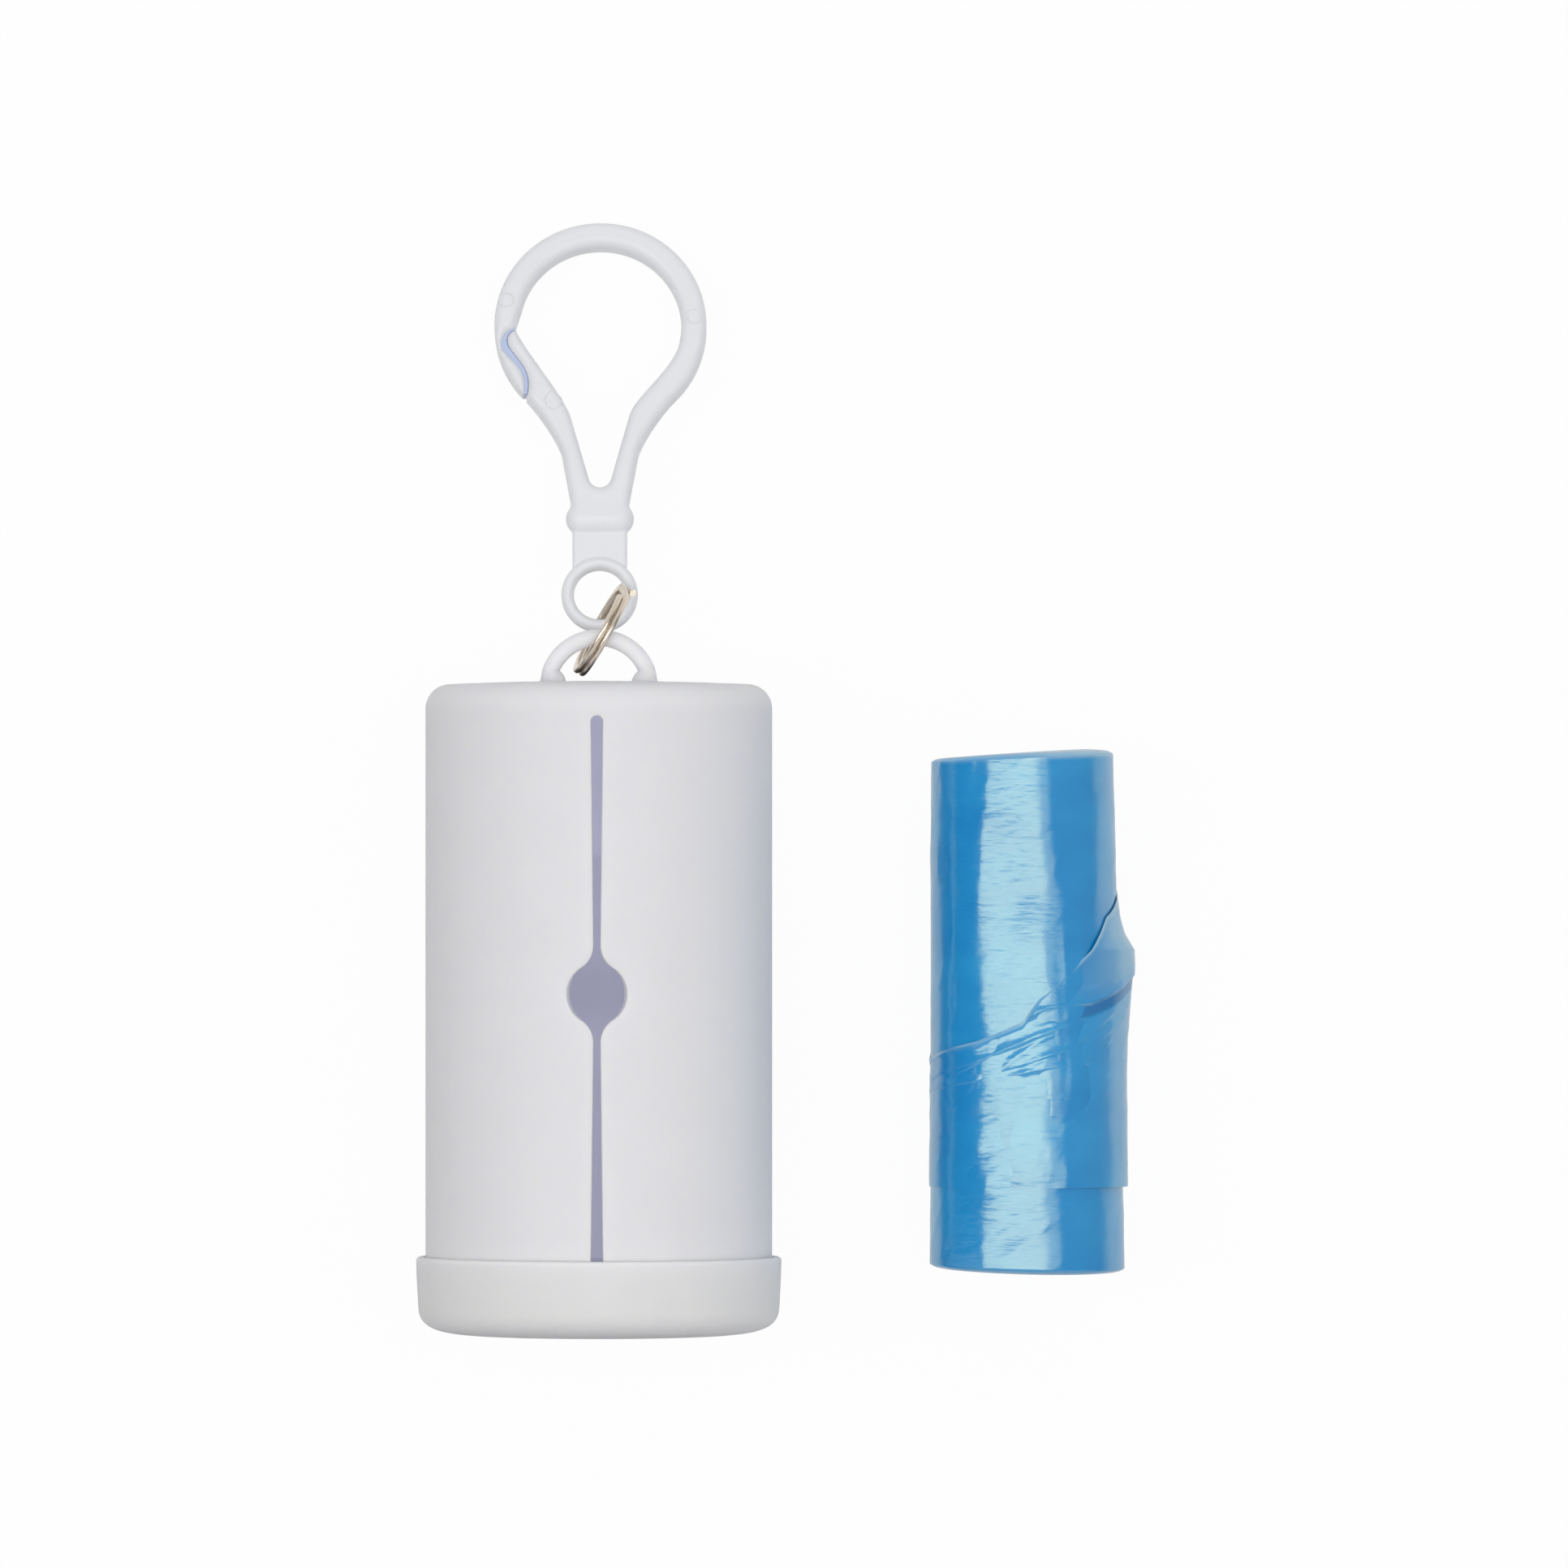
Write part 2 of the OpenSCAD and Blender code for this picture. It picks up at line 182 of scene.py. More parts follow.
# Painted shade in mirrors: they see it dark under the dispenser, where the dark tone stands for the
# dispenser itself, and far off to each side, and pale past the top end
place = add_node(tree, "ShaderNodeTexCoord").outputs["Object"]
across, along = add_node(tree, "ShaderNodeSeparateXYZ", (), place).outputs[:2]
left_end, right_end = -100, 200
mirrored_painted_shade = ((left_end, 0.04), (-75, 0.04), (-45, 0.45), (-27, 0.6), (-20, 0.04), (14, 0.04),
                  (24, 0.8), (95, 0.8), (150, 0.2), (right_end, 0.2))
stops = [((x - left_end) / (right_end - left_end), (tone,) * 3) for x, tone in mirrored_painted_shade]
tones = colour_ramp(tree, ramp(tree, across, left_end * mm, right_end * mm), stops)
past_top = ramp(tree, along, 72 * mm, 82 * mm, 0, 0.9)
mirrored = calculate(tree, "MAXIMUM", tones, past_top)
glossy = add_node(tree, "ShaderNodeLightPath").outputs["Is Glossy Ray"]
by_ray = add_node(tree, "ShaderNodeMix", Factor=glossy, A=1, B=mirrored)
white = add_node(tree, "ShaderNodeEmission", Strength=by_ray.outputs["Result"])
white_share = eye_share(tree, 0.96, 1)
lit = coat(table_paint)
seen = add_node(tree, "ShaderNodeMixShader", (), white_share, lit.outputs[0], white.outputs[0])
fill(tree, tree.nodes["Material Output"], seen.outputs[0])
table_half = 0.2
table_mesh = bpy.data.meshes.new("table")
table_mesh.from_pydata(
    [(camera.location.x + x * table_half, camera.location.y + y * table_half, cad_low.z)
     for x, y in ((-1, -1), (1, -1), (1, 1), (-1, 1))],
    [], [(0, 1, 2, 3)],
)
table_mesh.materials.append(table_paint)
table = in_scene("table", table_mesh)

light_height = 2.3
light_deep = 0.8
light_y = 0.06
for light_name, light_left, light_right, light_radiance in (
        ("softbox", -3.4, 1.1, 3.5), ("softbox_end", 1.1, 1.95, 1.5)):
    softbox_data = bpy.data.lights.new(light_name, "AREA")
    softbox_data.shape = "RECTANGLE"
    softbox_data.size = light_right - light_left
    softbox_data.size_y = light_deep
    softbox_data.energy = math.pi * light_radiance * softbox_data.size * softbox_data.size_y
    softbox = in_scene(light_name, softbox_data)
    softbox.location = ((light_left + light_right) / 2, light_y, light_height)
    softbox.visible_camera = False


# ---- Sleeve ------------------------------------------------------------------------------------
# One moulding of matt white silicone: a tube with a closed, slightly domed top, slit along its
# upper side from the open end to just short of the top. The slit widens into a round finger hole,
# and its edges are rounded off.
sleeve_r = 20.5
sleeve_wall = 2.2
sleeve_low_y = 2.6
sleeve_top_y = 77.4
shoulder_r = 2.9
dome_rise = 0.4
ceiling_y = 74.8
ceiling_fillet = 1.5
rim_round = 0.12                      # Rounding of the slit's edges
rim_sag, rim_sag_deep = 1.0, 0.13      # and how far round it, and how deep, the wall sags to it
hole_y, hole_r, neck_r = 40.6, 3.6, 3.1
slit_half = 0.425                     # Half the slit's width at the hole
slit_end_r = 0.725                    # and at both ends
slit_end_y = 73.2
cap_h = 9.3


def noise(tree, place, scale, detail, roughness=0.5):
    """A noise pattern's value at a place."""
    return add_node(tree, "ShaderNodeTexNoise", Vector=place, Scale=scale, Detail=detail,
                    Roughness=roughness).outputs["Fac"]


def bump(tree, height, depth):
    """The directions of a surface whose relief is this deep, in metres."""
    return add_node(tree, "ShaderNodeBump", Height=height, Distance=depth).outputs[0]


def blended(tree, share, colour, other):
    """Two colours, blended by a share of the second."""
    return add_node(tree, "ShaderNodeMix", {"data_type": "RGBA"}, Factor=share, A=colour,
                    B=other).outputs["Result"]


def add_grain(finish, size, depth, gloss, tone, stretch=(1, 1, 1)):
    """Gives a finish its fine grain, an uneven gloss, and a tone that drifts to a second colour."""
    tree = finish.node_tree
    place = add_node(tree, "ShaderNodeTexCoord").outputs["Object"]
    place = add_node(tree, "ShaderNodeMapping", Vector=place, Scale=stretch).outputs[0]
    grain = noise(tree, place, 1 / (size * mm), 3)
    patches = noise(tree, place, 1 / (12 * size * mm), 2)
    drift = noise(tree, place, 1 / (70 * size * mm), 2)
    colour = coat(finish).inputs["Base Color"].default_value
    coat(finish, Normal=bump(tree, grain, depth * mm), Roughness=ramp(tree, patches, 0.3, 0.7, *gloss),
         Base_Color=blended(tree, drift, colour, (*tone, 1)))


def new_piece(name, points, faces, finish, body, sharp=None, uv=None, thin=None):
    """A smooth piece from points in millimetres, with repeated points merged, riding on its body.
    Each point can have a place on the unrolled film, and how pale the film is there, from thinner film
    and painted sheen."""
    mesh = bpy.data.meshes.new(name)
    mesh.from_pydata([tuple(p) for p in np.asarray(points) * mm], [], faces)
    if uv is not None:
        corners = np.empty(len(mesh.loops), int)
        mesh.loops.foreach_get("vertex_index", corners)
        mesh.uv_layers.new(name="film").data.foreach_set("uv", uv.reshape(-1, 2)[corners].ravel())
    if thin is not None:
        mesh.attributes.new("thin", "FLOAT", "POINT").data.foreach_set("value", thin.ravel())
    work = bmesh.new()
    work.from_mesh(mesh)
    bmesh.ops.remove_doubles(work, verts=work.verts, dist=0.002 * mm)
    bmesh.ops.dissolve_degenerate(work, edges=work.edges, dist=0.001 * mm)
    bmesh.ops.recalc_face_normals(work, faces=work.faces)
    work.to_mesh(mesh)
    work.free()
    mesh.polygons.foreach_set("use_smooth", [True] * len(mesh.polygons))
    if sharp is not None:
        mesh.set_sharp_from_angle(angle=math.radians(sharp))
    mesh.materials.append(finish)
    piece = in_scene(name, mesh)
    if body:
        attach(piece, body)
    return piece


def grid_faces(rows, columns, first=0):
    """Quads of a grid of points stored row by row."""
    return [
        (first + i * columns + j, first + i * columns + j + 1,
         first + (i + 1) * columns + j + 1, first + (i + 1) * columns + j)
        for i in range(rows - 1) for j in range(columns - 1)
    ]


neck_dy = math.sqrt((hole_r + neck_r) ** 2 - (slit_half + neck_r) ** 2)
neck_meets_hole = neck_dy * hole_r / (hole_r + neck_r)
taper_top_y = slit_end_y - slit_end_r


def slit_width(y):
    """Half the slit's width at a height: a round hole, two necks, and a taper on each side."""
    away = abs(y - hole_y)
    if away < neck_meets_hole:
        return math.sqrt(hole_r ** 2 - away ** 2)
    if away < neck_dy:
        return slit_half + neck_r - math.sqrt(neck_r ** 2 - (neck_dy - away) ** 2)
    if y > taper_top_y:
        return math.sqrt(max(0, slit_end_r ** 2 - (y - taper_top_y) ** 2))
    run = (taper_top_y if y > hole_y else cap_h) - hole_y
    share = (away - neck_dy) / (abs(run) - neck_dy)
    return slit_half + (slit_end_r - slit_half) * min(1, share)


slit_ys = np.concatenate([
    np.linspace(sleeve_low_y, hole_y - neck_dy - 1, 34),
    np.linspace(hole_y - neck_dy - 1, hole_y + neck_dy + 1, 62)[1:],
    np.linspace(hole_y + neck_dy + 1, taper_top_y, 30)[1:],
    taper_top_y + slit_end_r * np.sin(np.radians(np.linspace(0, 90, 12)))[1:],
])
slit_halves = np.array([slit_width(y) for y in slit_ys])
slit_halves[-1] = 0
line_ys = np.linspace(slit_ys[0] - 3, slit_ys[-1], 900)
slit_line = np.concatenate([
    np.column_stack([np.interp(line_ys, slit_ys, slit_halves), line_ys]),
    np.column_stack([slit_halves, slit_ys]),
])

half_round = math.pi * sleeve_r
from_slit = [rim_round * (1 - math.cos(math.radians(a))) for a in (0, 25, 50, 70, 90)]
step = 0.1
while from_slit[-1] < half_round:
    from_slit.append(from_slit[-1] + step)
    step = min(0.9, step * 1.2)
from_slit = np.array(from_slit)
edge_end = from_slit[4]
stretch = (half_round - edge_end) / (from_slit[-1] - edge_end)
from_slit[5:] = edge_end + (from_slit[5:] - edge_end) * stretch
near_slit = 40                        # So many columns on each side may lie within the sag


def sleeve_skin(outline, sag_deep, inwards):
    """Grid of points round the sleeve, from one edge of the slit to the other, for an outline of
    [radius, height]. Near the slit it is drawn in, or out, by the sag and the rounded edge."""
    rows = []
    for radius, y in outline:
        half = slit_width(y) if y < slit_end_y else 0
        arc = half + from_slit * (1 - half / half_round)
        near = np.full(len(arc), rim_sag)
        if y < slit_end_y + 2:
            gap = np.hypot(arc[:near_slit, None] - slit_line[None, :, 0], y - slit_line[None, :, 1])
            near[:near_slit] = np.minimum(rim_sag, gap.min(1))
            near[0] = 0 if half > 0 or abs(y - slit_end_y) < 1e-6 else near[0]
        edge = np.minimum(near, rim_round)
        drawn = rim_round - np.sqrt(np.maximum(0, rim_round ** 2 - (rim_round - edge) ** 2))
        drawn += sag_deep * (1 - near / rim_sag) ** 2
        r = radius - drawn if inwards else radius + drawn
        turn = np.concatenate([arc, -arc[-2::-1]]) / sleeve_r
        r = np.concatenate([r, r[-2::-1]])
        r = r if radius > 0 else np.zeros(len(turn))
        rows.append(np.column_stack([r * np.sin(turn), np.full(len(turn), y), r * np.cos(turn)]))
    return np.array(rows)


dome_r = sleeve_r - shoulder_r
dome_sphere = (dome_r ** 2 + dome_rise ** 2) / (2 * dome_rise)
dome_turn = math.asin(dome_r / dome_sphere)
outer = [(sleeve_r, y) for y in slit_ys]
outer += [(sleeve_r, slit_end_y + past) for past in (0.1, 0.2, 0.35, 0.55, 0.75)]
for a in np.linspace(0, math.pi / 2 - dome_turn, 16):
    outer.append((dome_r + shoulder_r * math.cos(a),
                  sleeve_top_y - dome_rise - shoulder_r + shoulder_r * math.sin(a)))
for a in np.linspace(dome_turn, 0, 22)[1:]:
    outer.append((dome_sphere * math.sin(a), sleeve_top_y - dome_sphere * (1 - math.cos(a))))
bore_r = sleeve_r - sleeve_wall
inner = [(bore_r, y) for y in slit_ys]
for a in np.linspace(0, math.pi / 2, 7):
    inner.append((bore_r - ceiling_fillet + ceiling_fillet * math.cos(a),
                  ceiling_y - ceiling_fillet + ceiling_fillet * math.sin(a)))
inner += [(r, ceiling_y) for r in (14, 10, 5, 0)]

outside = sleeve_skin(outer, rim_sag_deep, True)
inside = sleeve_skin(inner, 0, False)
columns = outside.shape[1]
slit_rows = len(slit_ys)
points = list(outside.reshape(-1, 3)) + list(inside.reshape(-1, 3))
faces = grid_faces(len(outer), columns) + grid_faces(len(inner), columns, len(outer) * columns)
for side in (0, columns - 1):
    first = len(points)
    for i in range(slit_rows):
        for share in np.linspace(0, 1, 5):
            points.append(outside[i, side] * (1 - share) + inside[i, side] * share)
    faces += grid_faces(slit_rows, 5, first)
faces += [
    (j, j + 1, len(outer) * columns + j + 1, len(outer) * columns + j) for j in range(columns - 1)
]

silicone = new_finish(
    "matt_silicone", (0.817, 0.813, 0.83), 0.55, Specular_IOR_Level=0.35, Subsurface_Weight=1,
    Subsurface_Radius=(1, 1, 1.2), Subsurface_Scale=1.2 * mm)
add_grain(silicone, 0.09, 0.006, (0.5, 0.62), (0.792, 0.788, 0.802))

# Painted shade and glow inside: the inside wall is a darker, bluer copy of the silicone, and its
# painted glow stands for light let through the wall, more of it in the upper third of the chamber
glow = new_finish("silicone_inside_painted_shade_glow", (0.5, 0.5, 0.57), 0.6, Emission_Color=(0.8, 0.805, 1, 1))
add_grain(glow, 0.15, 0.01, (0.5, 0.7), (0.47, 0.47, 0.54))
tree = glow.node_tree
place = add_node(tree, "ShaderNodeTexCoord").outputs["Object"]
height = add_node(tree, "ShaderNodeSeparateXYZ", (), place).outputs["Y"]
glow_by_height = ((0, 0.22), (34, 0.207), (39, 0.155), (42, 0.155), (47, 0.2), (56.5, 0.2),
                  (56.8, 0.255), (66, 0.23))
stops = [(y / ceiling_y, (glowing,) * 3) for y, glowing in glow_by_height]
coat(glow, Emission_Strength=colour_ramp(tree, ramp(tree, height, 0, ceiling_y * mm), stops))
sleeve = new_piece("sleeve_shell", points, faces, silicone, "dispenser")
sleeve.data.materials.append(glow)
inside_r = (sleeve_r - sleeve_wall * 0.9) * mm
# The inside faces take the painted shade and glow
for face in sleeve.data.polygons:
    x, y, z = face.center
    if math.hypot(x, z) < inside_r and y < (ceiling_y + 0.01) * mm:
        face.material_index = 1
sleeve.visible_glossy = False          # The table's painted shade in mirrors stands for it
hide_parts("sleeve")


# ---- Hang loop ---------------------------------------------------------------------------------
# A round bar of the same silicone, moulded onto the closed top. It is drawn along its arc, and
# its two feet spread inwards where they meet the top.
def new_tree(name, **sizes):
    """A Geometry Nodes tree with named number inputs, and its input sockets by name."""
    tree = bpy.data.node_groups.new(name, "GeometryNodeTree")
    for size, value in sizes.items():
        socket = tree.interface.new_socket(size, in_out="INPUT", socket_type="NodeSocketFloat")
        socket.default_value = value
    tree.interface.new_socket("Geometry", in_out="OUTPUT", socket_type="NodeSocketGeometry")
    return tree, tree.nodes.new("NodeGroupInput").outputs


def grown(tree, shape, name, finish, body):
    """Ends a tree, runs it, and makes a plain mesh piece on its body."""
    real = add_node(tree, "GeometryNodeRealizeInstances", Geometry=shape)
    smooth = add_node(tree, "GeometryNodeSetShadeSmooth", Geometry=real.outputs[0])
    paint = add_node(tree, "GeometryNodeSetMaterial", Geometry=smooth.outputs[0], Material=finish)
    add_node(tree, "NodeGroupOutput", (), paint.outputs[0])
    seed = in_scene(name + "_seed", bpy.data.meshes.new(name + "_seed"))
    seed.modifiers.new("maker", "NODES").node_group = tree
    bpy.context.view_layer.update()
    shaped = seed.evaluated_get(bpy.context.evaluated_depsgraph_get())
    piece = in_scene(name, bpy.data.meshes.new_from_object(shaped))
    piece.data.name = name
    bpy.data.objects.remove(seed)
    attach(piece, body)
    return piece


loop_r, bar_r, loop_y, bar_embed = 6.1, 1.0, 76.4, 8
tree, size = new_tree("bar_on_an_arc", Loop_Radius=loop_r * mm, Bar_Radius=bar_r * mm, Spread_Feet=0.6)
arc = add_node(tree, "GeometryNodeCurveArc", Resolution=160, Radius=size["Loop_Radius"],
               Start_Angle=math.radians(-bar_embed), Sweep_Angle=math.radians(180 + 2 * bar_embed))
along = add_node(tree, "GeometryNodeSplineParameter").outputs["Factor"]
off_crest = calculate(tree, "ABSOLUTE", calculate(tree, "ADD", along, -0.5))
feet = calculate(tree, "MULTIPLY", ramp(tree, off_crest, 0.33, 0.43, smooth=True), size["Spread_Feet"])
stout = calculate(tree, "MULTIPLY", calculate(tree, "ADD", feet, 1), size["Bar_Radius"])
on_arc = add_node(tree, "GeometryNodeInputPosition").outputs[0]
side = calculate(tree, "SIGN", add_node(tree, "ShaderNodeSeparateXYZ", (), on_arc).outputs["X"])
inwards = calculate(tree, "MULTIPLY", feet, size["Bar_Radius"], side, -1)
shift = add_node(tree, "ShaderNodeCombineXYZ", X=inwards).outputs[0]
path = add_node(tree, "GeometryNodeSetPosition", Geometry=arc.outputs[0], Offset=shift)
section = add_node(tree, "GeometryNodeCurvePrimitiveCircle", Resolution=32, Radius=1)
bar = add_node(tree, "GeometryNodeCurveToMesh", Curve=path.outputs[0],
               Profile_Curve=section.outputs[0], Scale=stout, Fill_Caps=True)
loop = grown(tree, bar.outputs[0], "hang_loop", silicone, "dispenser")
loop.data.transform(Matrix.Translation((0, loop_y * mm, 0)))


# ---- End cap -----------------------------------------------------------------------------------
# A cap of the same silicone, pushed on by hand. Its lip grips the sleeve outside, a plug ring
# stands inside, and its bottom edge is rounded off to the flat that it can stand on.
def turned(outline, count):
    """Points and faces of a half outline of [radius, height], turned about the Y axis."""
    turns = np.linspace(0, 2 * math.pi, count + 1)
    rows = [
        np.column_stack([r * np.sin(turns), np.full(count + 1, y), r * np.cos(turns)])
        for r, y in outline
    ]
    return np.concatenate(rows), grid_faces(len(outline), count + 1)


def bezier(control_points, steps=16):
    """Points along a curve with two end points and two control points."""
    p0, p1, p2, p3 = (np.array(p, float) for p in control_points)
    t = np.linspace(0, 1, steps + 1)[:, None]
    s = 1 - t
    return s ** 3 * p0 + 3 * s ** 2 * t * p1 + 3 * s * t ** 2 * p2 + t ** 3 * p3


def arc_points(middle, r, start, end, steps=8):
    """Points of an arc between two angles in degrees."""
    turn = np.radians(np.linspace(start, end, steps + 1))
    return np.column_stack([middle[0] + r * np.cos(turn), middle[1] + r * np.sin(turn)])


cap_r, cap_floor, lip_r = 21.6, 2.5, 20.6
plug_out_r, plug_in_r, plug_top_y = 18.2, 16.6, 8.6
lip_round, lip_inner_round, plug_round, floor_fillet = 0.45, 0.25, 0.3, 0.6
cap_outline = np.concatenate([
    [(0, 0), (4, 0), (8, 0), (11, 0)],
    bezier([(13, 0), (18.5, 0.1), (21.2, 0.6), (21.35, 3.2)], 24),
    [(21.45, 5), (21.55, 7)],
    arc_points((cap_r - lip_round, cap_h - lip_round), lip_round, 0, 90),
    arc_points((lip_r + lip_inner_round, cap_h - lip_inner_round), lip_inner_round, 90, 180),
    [(lip_r, 5), (lip_r, cap_floor), (plug_out_r, cap_floor), (plug_out_r, 5)],
    arc_points((plug_out_r - plug_round, plug_top_y - plug_round), plug_round, 0, 90),
    arc_points((plug_in_r + plug_round, plug_top_y - plug_round), plug_round, 90, 180),
    [(plug_in_r, 5)],
    arc_points((plug_in_r - floor_fillet, cap_floor + floor_fillet), floor_fillet, 0, -90),
    [(12, cap_floor), (6, cap_floor), (0, cap_floor)],
])
cap_points, cap_faces = turned(cap_outline, 192)
cap = new_piece("cap_shell", cap_points, cap_faces, silicone, "cap", sharp=60)
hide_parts("base_cap")


# ---- Split ring --------------------------------------------------------------------------------
# Flat spring-steel wire wound into nearly two turns that lie side by side, nickel plated. It
# stands on edge through the loop and the hook's eye, and the cut end of one turn is sprung out.
ring_mid_r, wire_t, wire_w, wire_edge = 5.55, 0.9, 0.7, 0.32
ring_start, ring_sweep = 38, 688
cross_from, cross_to, sprung_from = 330, 358, 650      # Degrees along the wire
ring_middle = Vector((0.35, 83.4712, -3.52882)) * mm
ring_yaw, ring_lean = 28.5, 6
on_edge = Matrix(((0, 0, 1, 0), (1, 0, 0, 0), (0, 1, 0, 0), (0, 0, 0, 1)))
ring_frame = (Matrix.Translation(ring_middle) @ Matrix.Rotation(math.radians(-ring_yaw), 4, "Z")
              @ Matrix.Rotation(math.radians(ring_lean), 4, "Y") @ on_edge)
nickel = new_finish("nickel_plate", (0.77, 0.68, 0.575), 0.22, Metallic=1)
tree = nickel.node_tree
place = add_node(tree, "ShaderNodeTexCoord").outputs["Object"]
in_ring = add_node(tree, "ShaderNodeMapping", {"vector_type": "TEXTURE"}, Vector=place,
                   Location=ring_middle, Rotation=ring_frame.to_euler()).outputs[0]
ring_axes = add_node(tree, "ShaderNodeSeparateXYZ", (), in_ring).outputs
flat_place = add_node(tree, "ShaderNodeCombineXYZ", X=ring_axes["X"], Y=ring_axes["Y"]).outputs[0]
from_axis = add_node(tree, "ShaderNodeVectorMath", {"operation": "LENGTH"}, flat_place).outputs["Value"]
drawn = add_node(tree, "ShaderNodeCombineXYZ", X=from_axis, Y=ring_axes["Z"]).outputs[0]
lines = noise(tree, drawn, 14 / mm, 2)
coat(nickel, Normal=bump(tree, lines, 0.018 * mm), Roughness=ramp(tree, lines, 0, 1, 0.14, 0.34))
tree, size = new_tree("flat_wire_coil", Ring_Radius=ring_mid_r * mm, Wire_Thickness=wire_t * mm,
                      Wire_Width=wire_w * mm, Edge=wire_edge * mm, Pitch=(wire_w + 0.03) * mm,
                      Sprung_Out=0.75 * mm, Turns=ring_sweep / 360)
coil = add_node(tree, "GeometryNodeCurveSpiral", Resolution=150, Rotations=size["Turns"], Height=0,
                Reverse=True, Start_Radius=size["Ring_Radius"], End_Radius=size["Ring_Radius"])
along = add_node(tree, "GeometryNodeSplineParameter").outputs["Factor"]
crossed = ramp(tree, along, cross_from / ring_sweep, cross_to / ring_sweep, -0.5, 0.5, smooth=True)
sprung = ramp(tree, along, sprung_from / ring_sweep, 1, smooth=True)
lift = calculate(tree, "ADD", calculate(tree, "MULTIPLY", crossed, size["Pitch"]),
                 calculate(tree, "MULTIPLY", sprung, size["Sprung_Out"]))
aside = add_node(tree, "ShaderNodeCombineXYZ", Z=lift)
wound = add_node(tree, "GeometryNodeSetPosition", Geometry=coil.outputs[0], Offset=aside.outputs[0])
upright = add_node(tree, "GeometryNodeSetCurveNormal", {"mode": "Z_UP"}, Curve=wound.outputs[0])
flat_wire = add_node(tree, "GeometryNodeCurvePrimitiveQuadrilateral",
                     Width=size["Wire_Thickness"], Height=size["Wire_Width"])
section = add_node(tree, "GeometryNodeFilletCurve", {"mode": "POLY"}, Curve=flat_wire.outputs[0],
                   Radius=size["Edge"], Count=5)
wire = add_node(tree, "GeometryNodeCurveToMesh", Curve=upright.outputs[0],
                Profile_Curve=section.outputs[0], Fill_Caps=True)
ring = grown(tree, wire.outputs[0], "split_ring_wire", nickel, "ring")
ring.data.transform(ring_frame @ Matrix.Rotation(math.radians(ring_start), 4, "Z"))
ring.data.set_sharp_from_angle(angle=math.radians(50))
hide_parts("split_ring")


# ---- Snap hook ---------------------------------------------------------------------------------
# One moulding of satin white plastic: a crown and nose, two arms, a bead-shaped collar, a flat
# tail and a round eye. Its edges are rounded by the mould, and the S-shaped mouth is cut through.
hook_tilt = math.radians(14.4927)
hook_rim = (83.95, -7.52882)           # The eye's rim, which rests in the ring
hook_t, upper_edge_r, lower_edge_r = 3.4, 1.15, 0.35
crown_r, crown_w, crown_u = 12.65, 3.0, 37.0
fork_r, fork_u = 1.35, 18.25
collar_r, collar_half, collar_u = 1.9, 4.05, 13.15
tail_half, tail_t, tail_foot_u, tail_edge_r = 3.25, 1.5, 7.2, 0.5
eye_r, eye_bar_r, eye_deep = 3.8, 0.75, 1.3
collar_fillet, tail_fillet, eye_fillet = 0.5, 0.15, 0.25
shoulder = bezier([(4.54, 21.1), (5.1, 23.2), (7.75, 26.9), (8.89, 28)])
flip = np.array([-1, 1])
hook_outside = np.concatenate([
    [(-3.1, collar_u), (3.1, collar_u)], shoulder,
    arc_points((0, crown_u), crown_r, -45, 225, 90), shoulder[::-1] * flip,
])
hook_inside = np.concatenate([
    arc_points((0, fork_u), fork_r, 195, 345, 16),
    bezier([(3.5, 25.9), (4.3, 28.4), (9.3, 32), (9.5, 35.3)]),
    arc_points((0, crown_u), crown_r - crown_w, -8, 167, 70),
    bezier([(-10.2, 36.6), (-8.9, 33.6), (-5, 29.2), (-3.6, 25.9)]),
])
gate_lip = np.concatenate([
    bezier([(-10.3, 36.3), (-11.2, 36), (-11.4, 34.9), (-10.8, 34)], 8),
    bezier([(-10.8, 34), (-9.4, 32), (-7.9, 31), (-8.9, 27.6)], 12),
])
nose_lip = np.concatenate([
    bezier([(-10.2, 36.5), (-11.35, 36.2), (-12.1, 35), (-11.6, 33.9)], 8),
    bezier([(-11.6, 33.9), (-10.0, 32), (-8.2, 31.1), (-9.3, 27.6)], 12),
])
mouth = np.concatenate([
    [(-9, 37.2)], nose_lip, [(-9.6, 26.5), (-8.8, 26.5)], gate_lip[::-1], [(-8.6, 36.5)],
])


def off_polygon(points, corners):
    """Distance of flat points from a closed outline, negative inside it."""
    ends = np.roll(corners, -1, axis=0)
    edges = ends - corners
    lengths = np.maximum((edges ** 2).sum(1), 1e-9)
    result = np.empty(len(points))
    for first in range(0, len(points), 4000):
        p = points[first:first + 4000, None, :]
        share = np.clip(((p - corners) * edges).sum(2) / lengths, 0, 1)
        away = np.sqrt((((p - corners) - share[..., None] * edges) ** 2).sum(2).min(1))
        above = (corners[:, 1] > p[..., 1]) != (ends[:, 1] > p[..., 1])
        rise = np.where(edges[:, 1] == 0, 1, edges[:, 1])
        crossing = corners[:, 0] + (p[..., 1] - corners[:, 1]) / rise * edges[:, 0]
        inside = (above & (p[..., 0] < crossing)).sum(1) % 2 == 1
        result[first:first + 4000] = np.where(inside, -away, away)
    return result


net_low = np.array([-13.1, -1.1, -2.1])
net_high = np.array([13.1, 50.1, 2.1])
fine = 0.1
fine_x, fine_u = (np.arange(net_low[a] - 1, net_high[a] + 1, fine) for a in (0, 1))
fine_points = np.stack(np.meshgrid(fine_x, fine_u, indexing="ij"), -1).reshape(-1, 2)
arms_grid = np.maximum(off_polygon(fine_points, hook_outside), -off_polygon(fine_points, hook_inside))
arms_grid = np.maximum(arms_grid, -off_polygon(fine_points, mouth)).reshape(len(fine_x), len(fine_u))


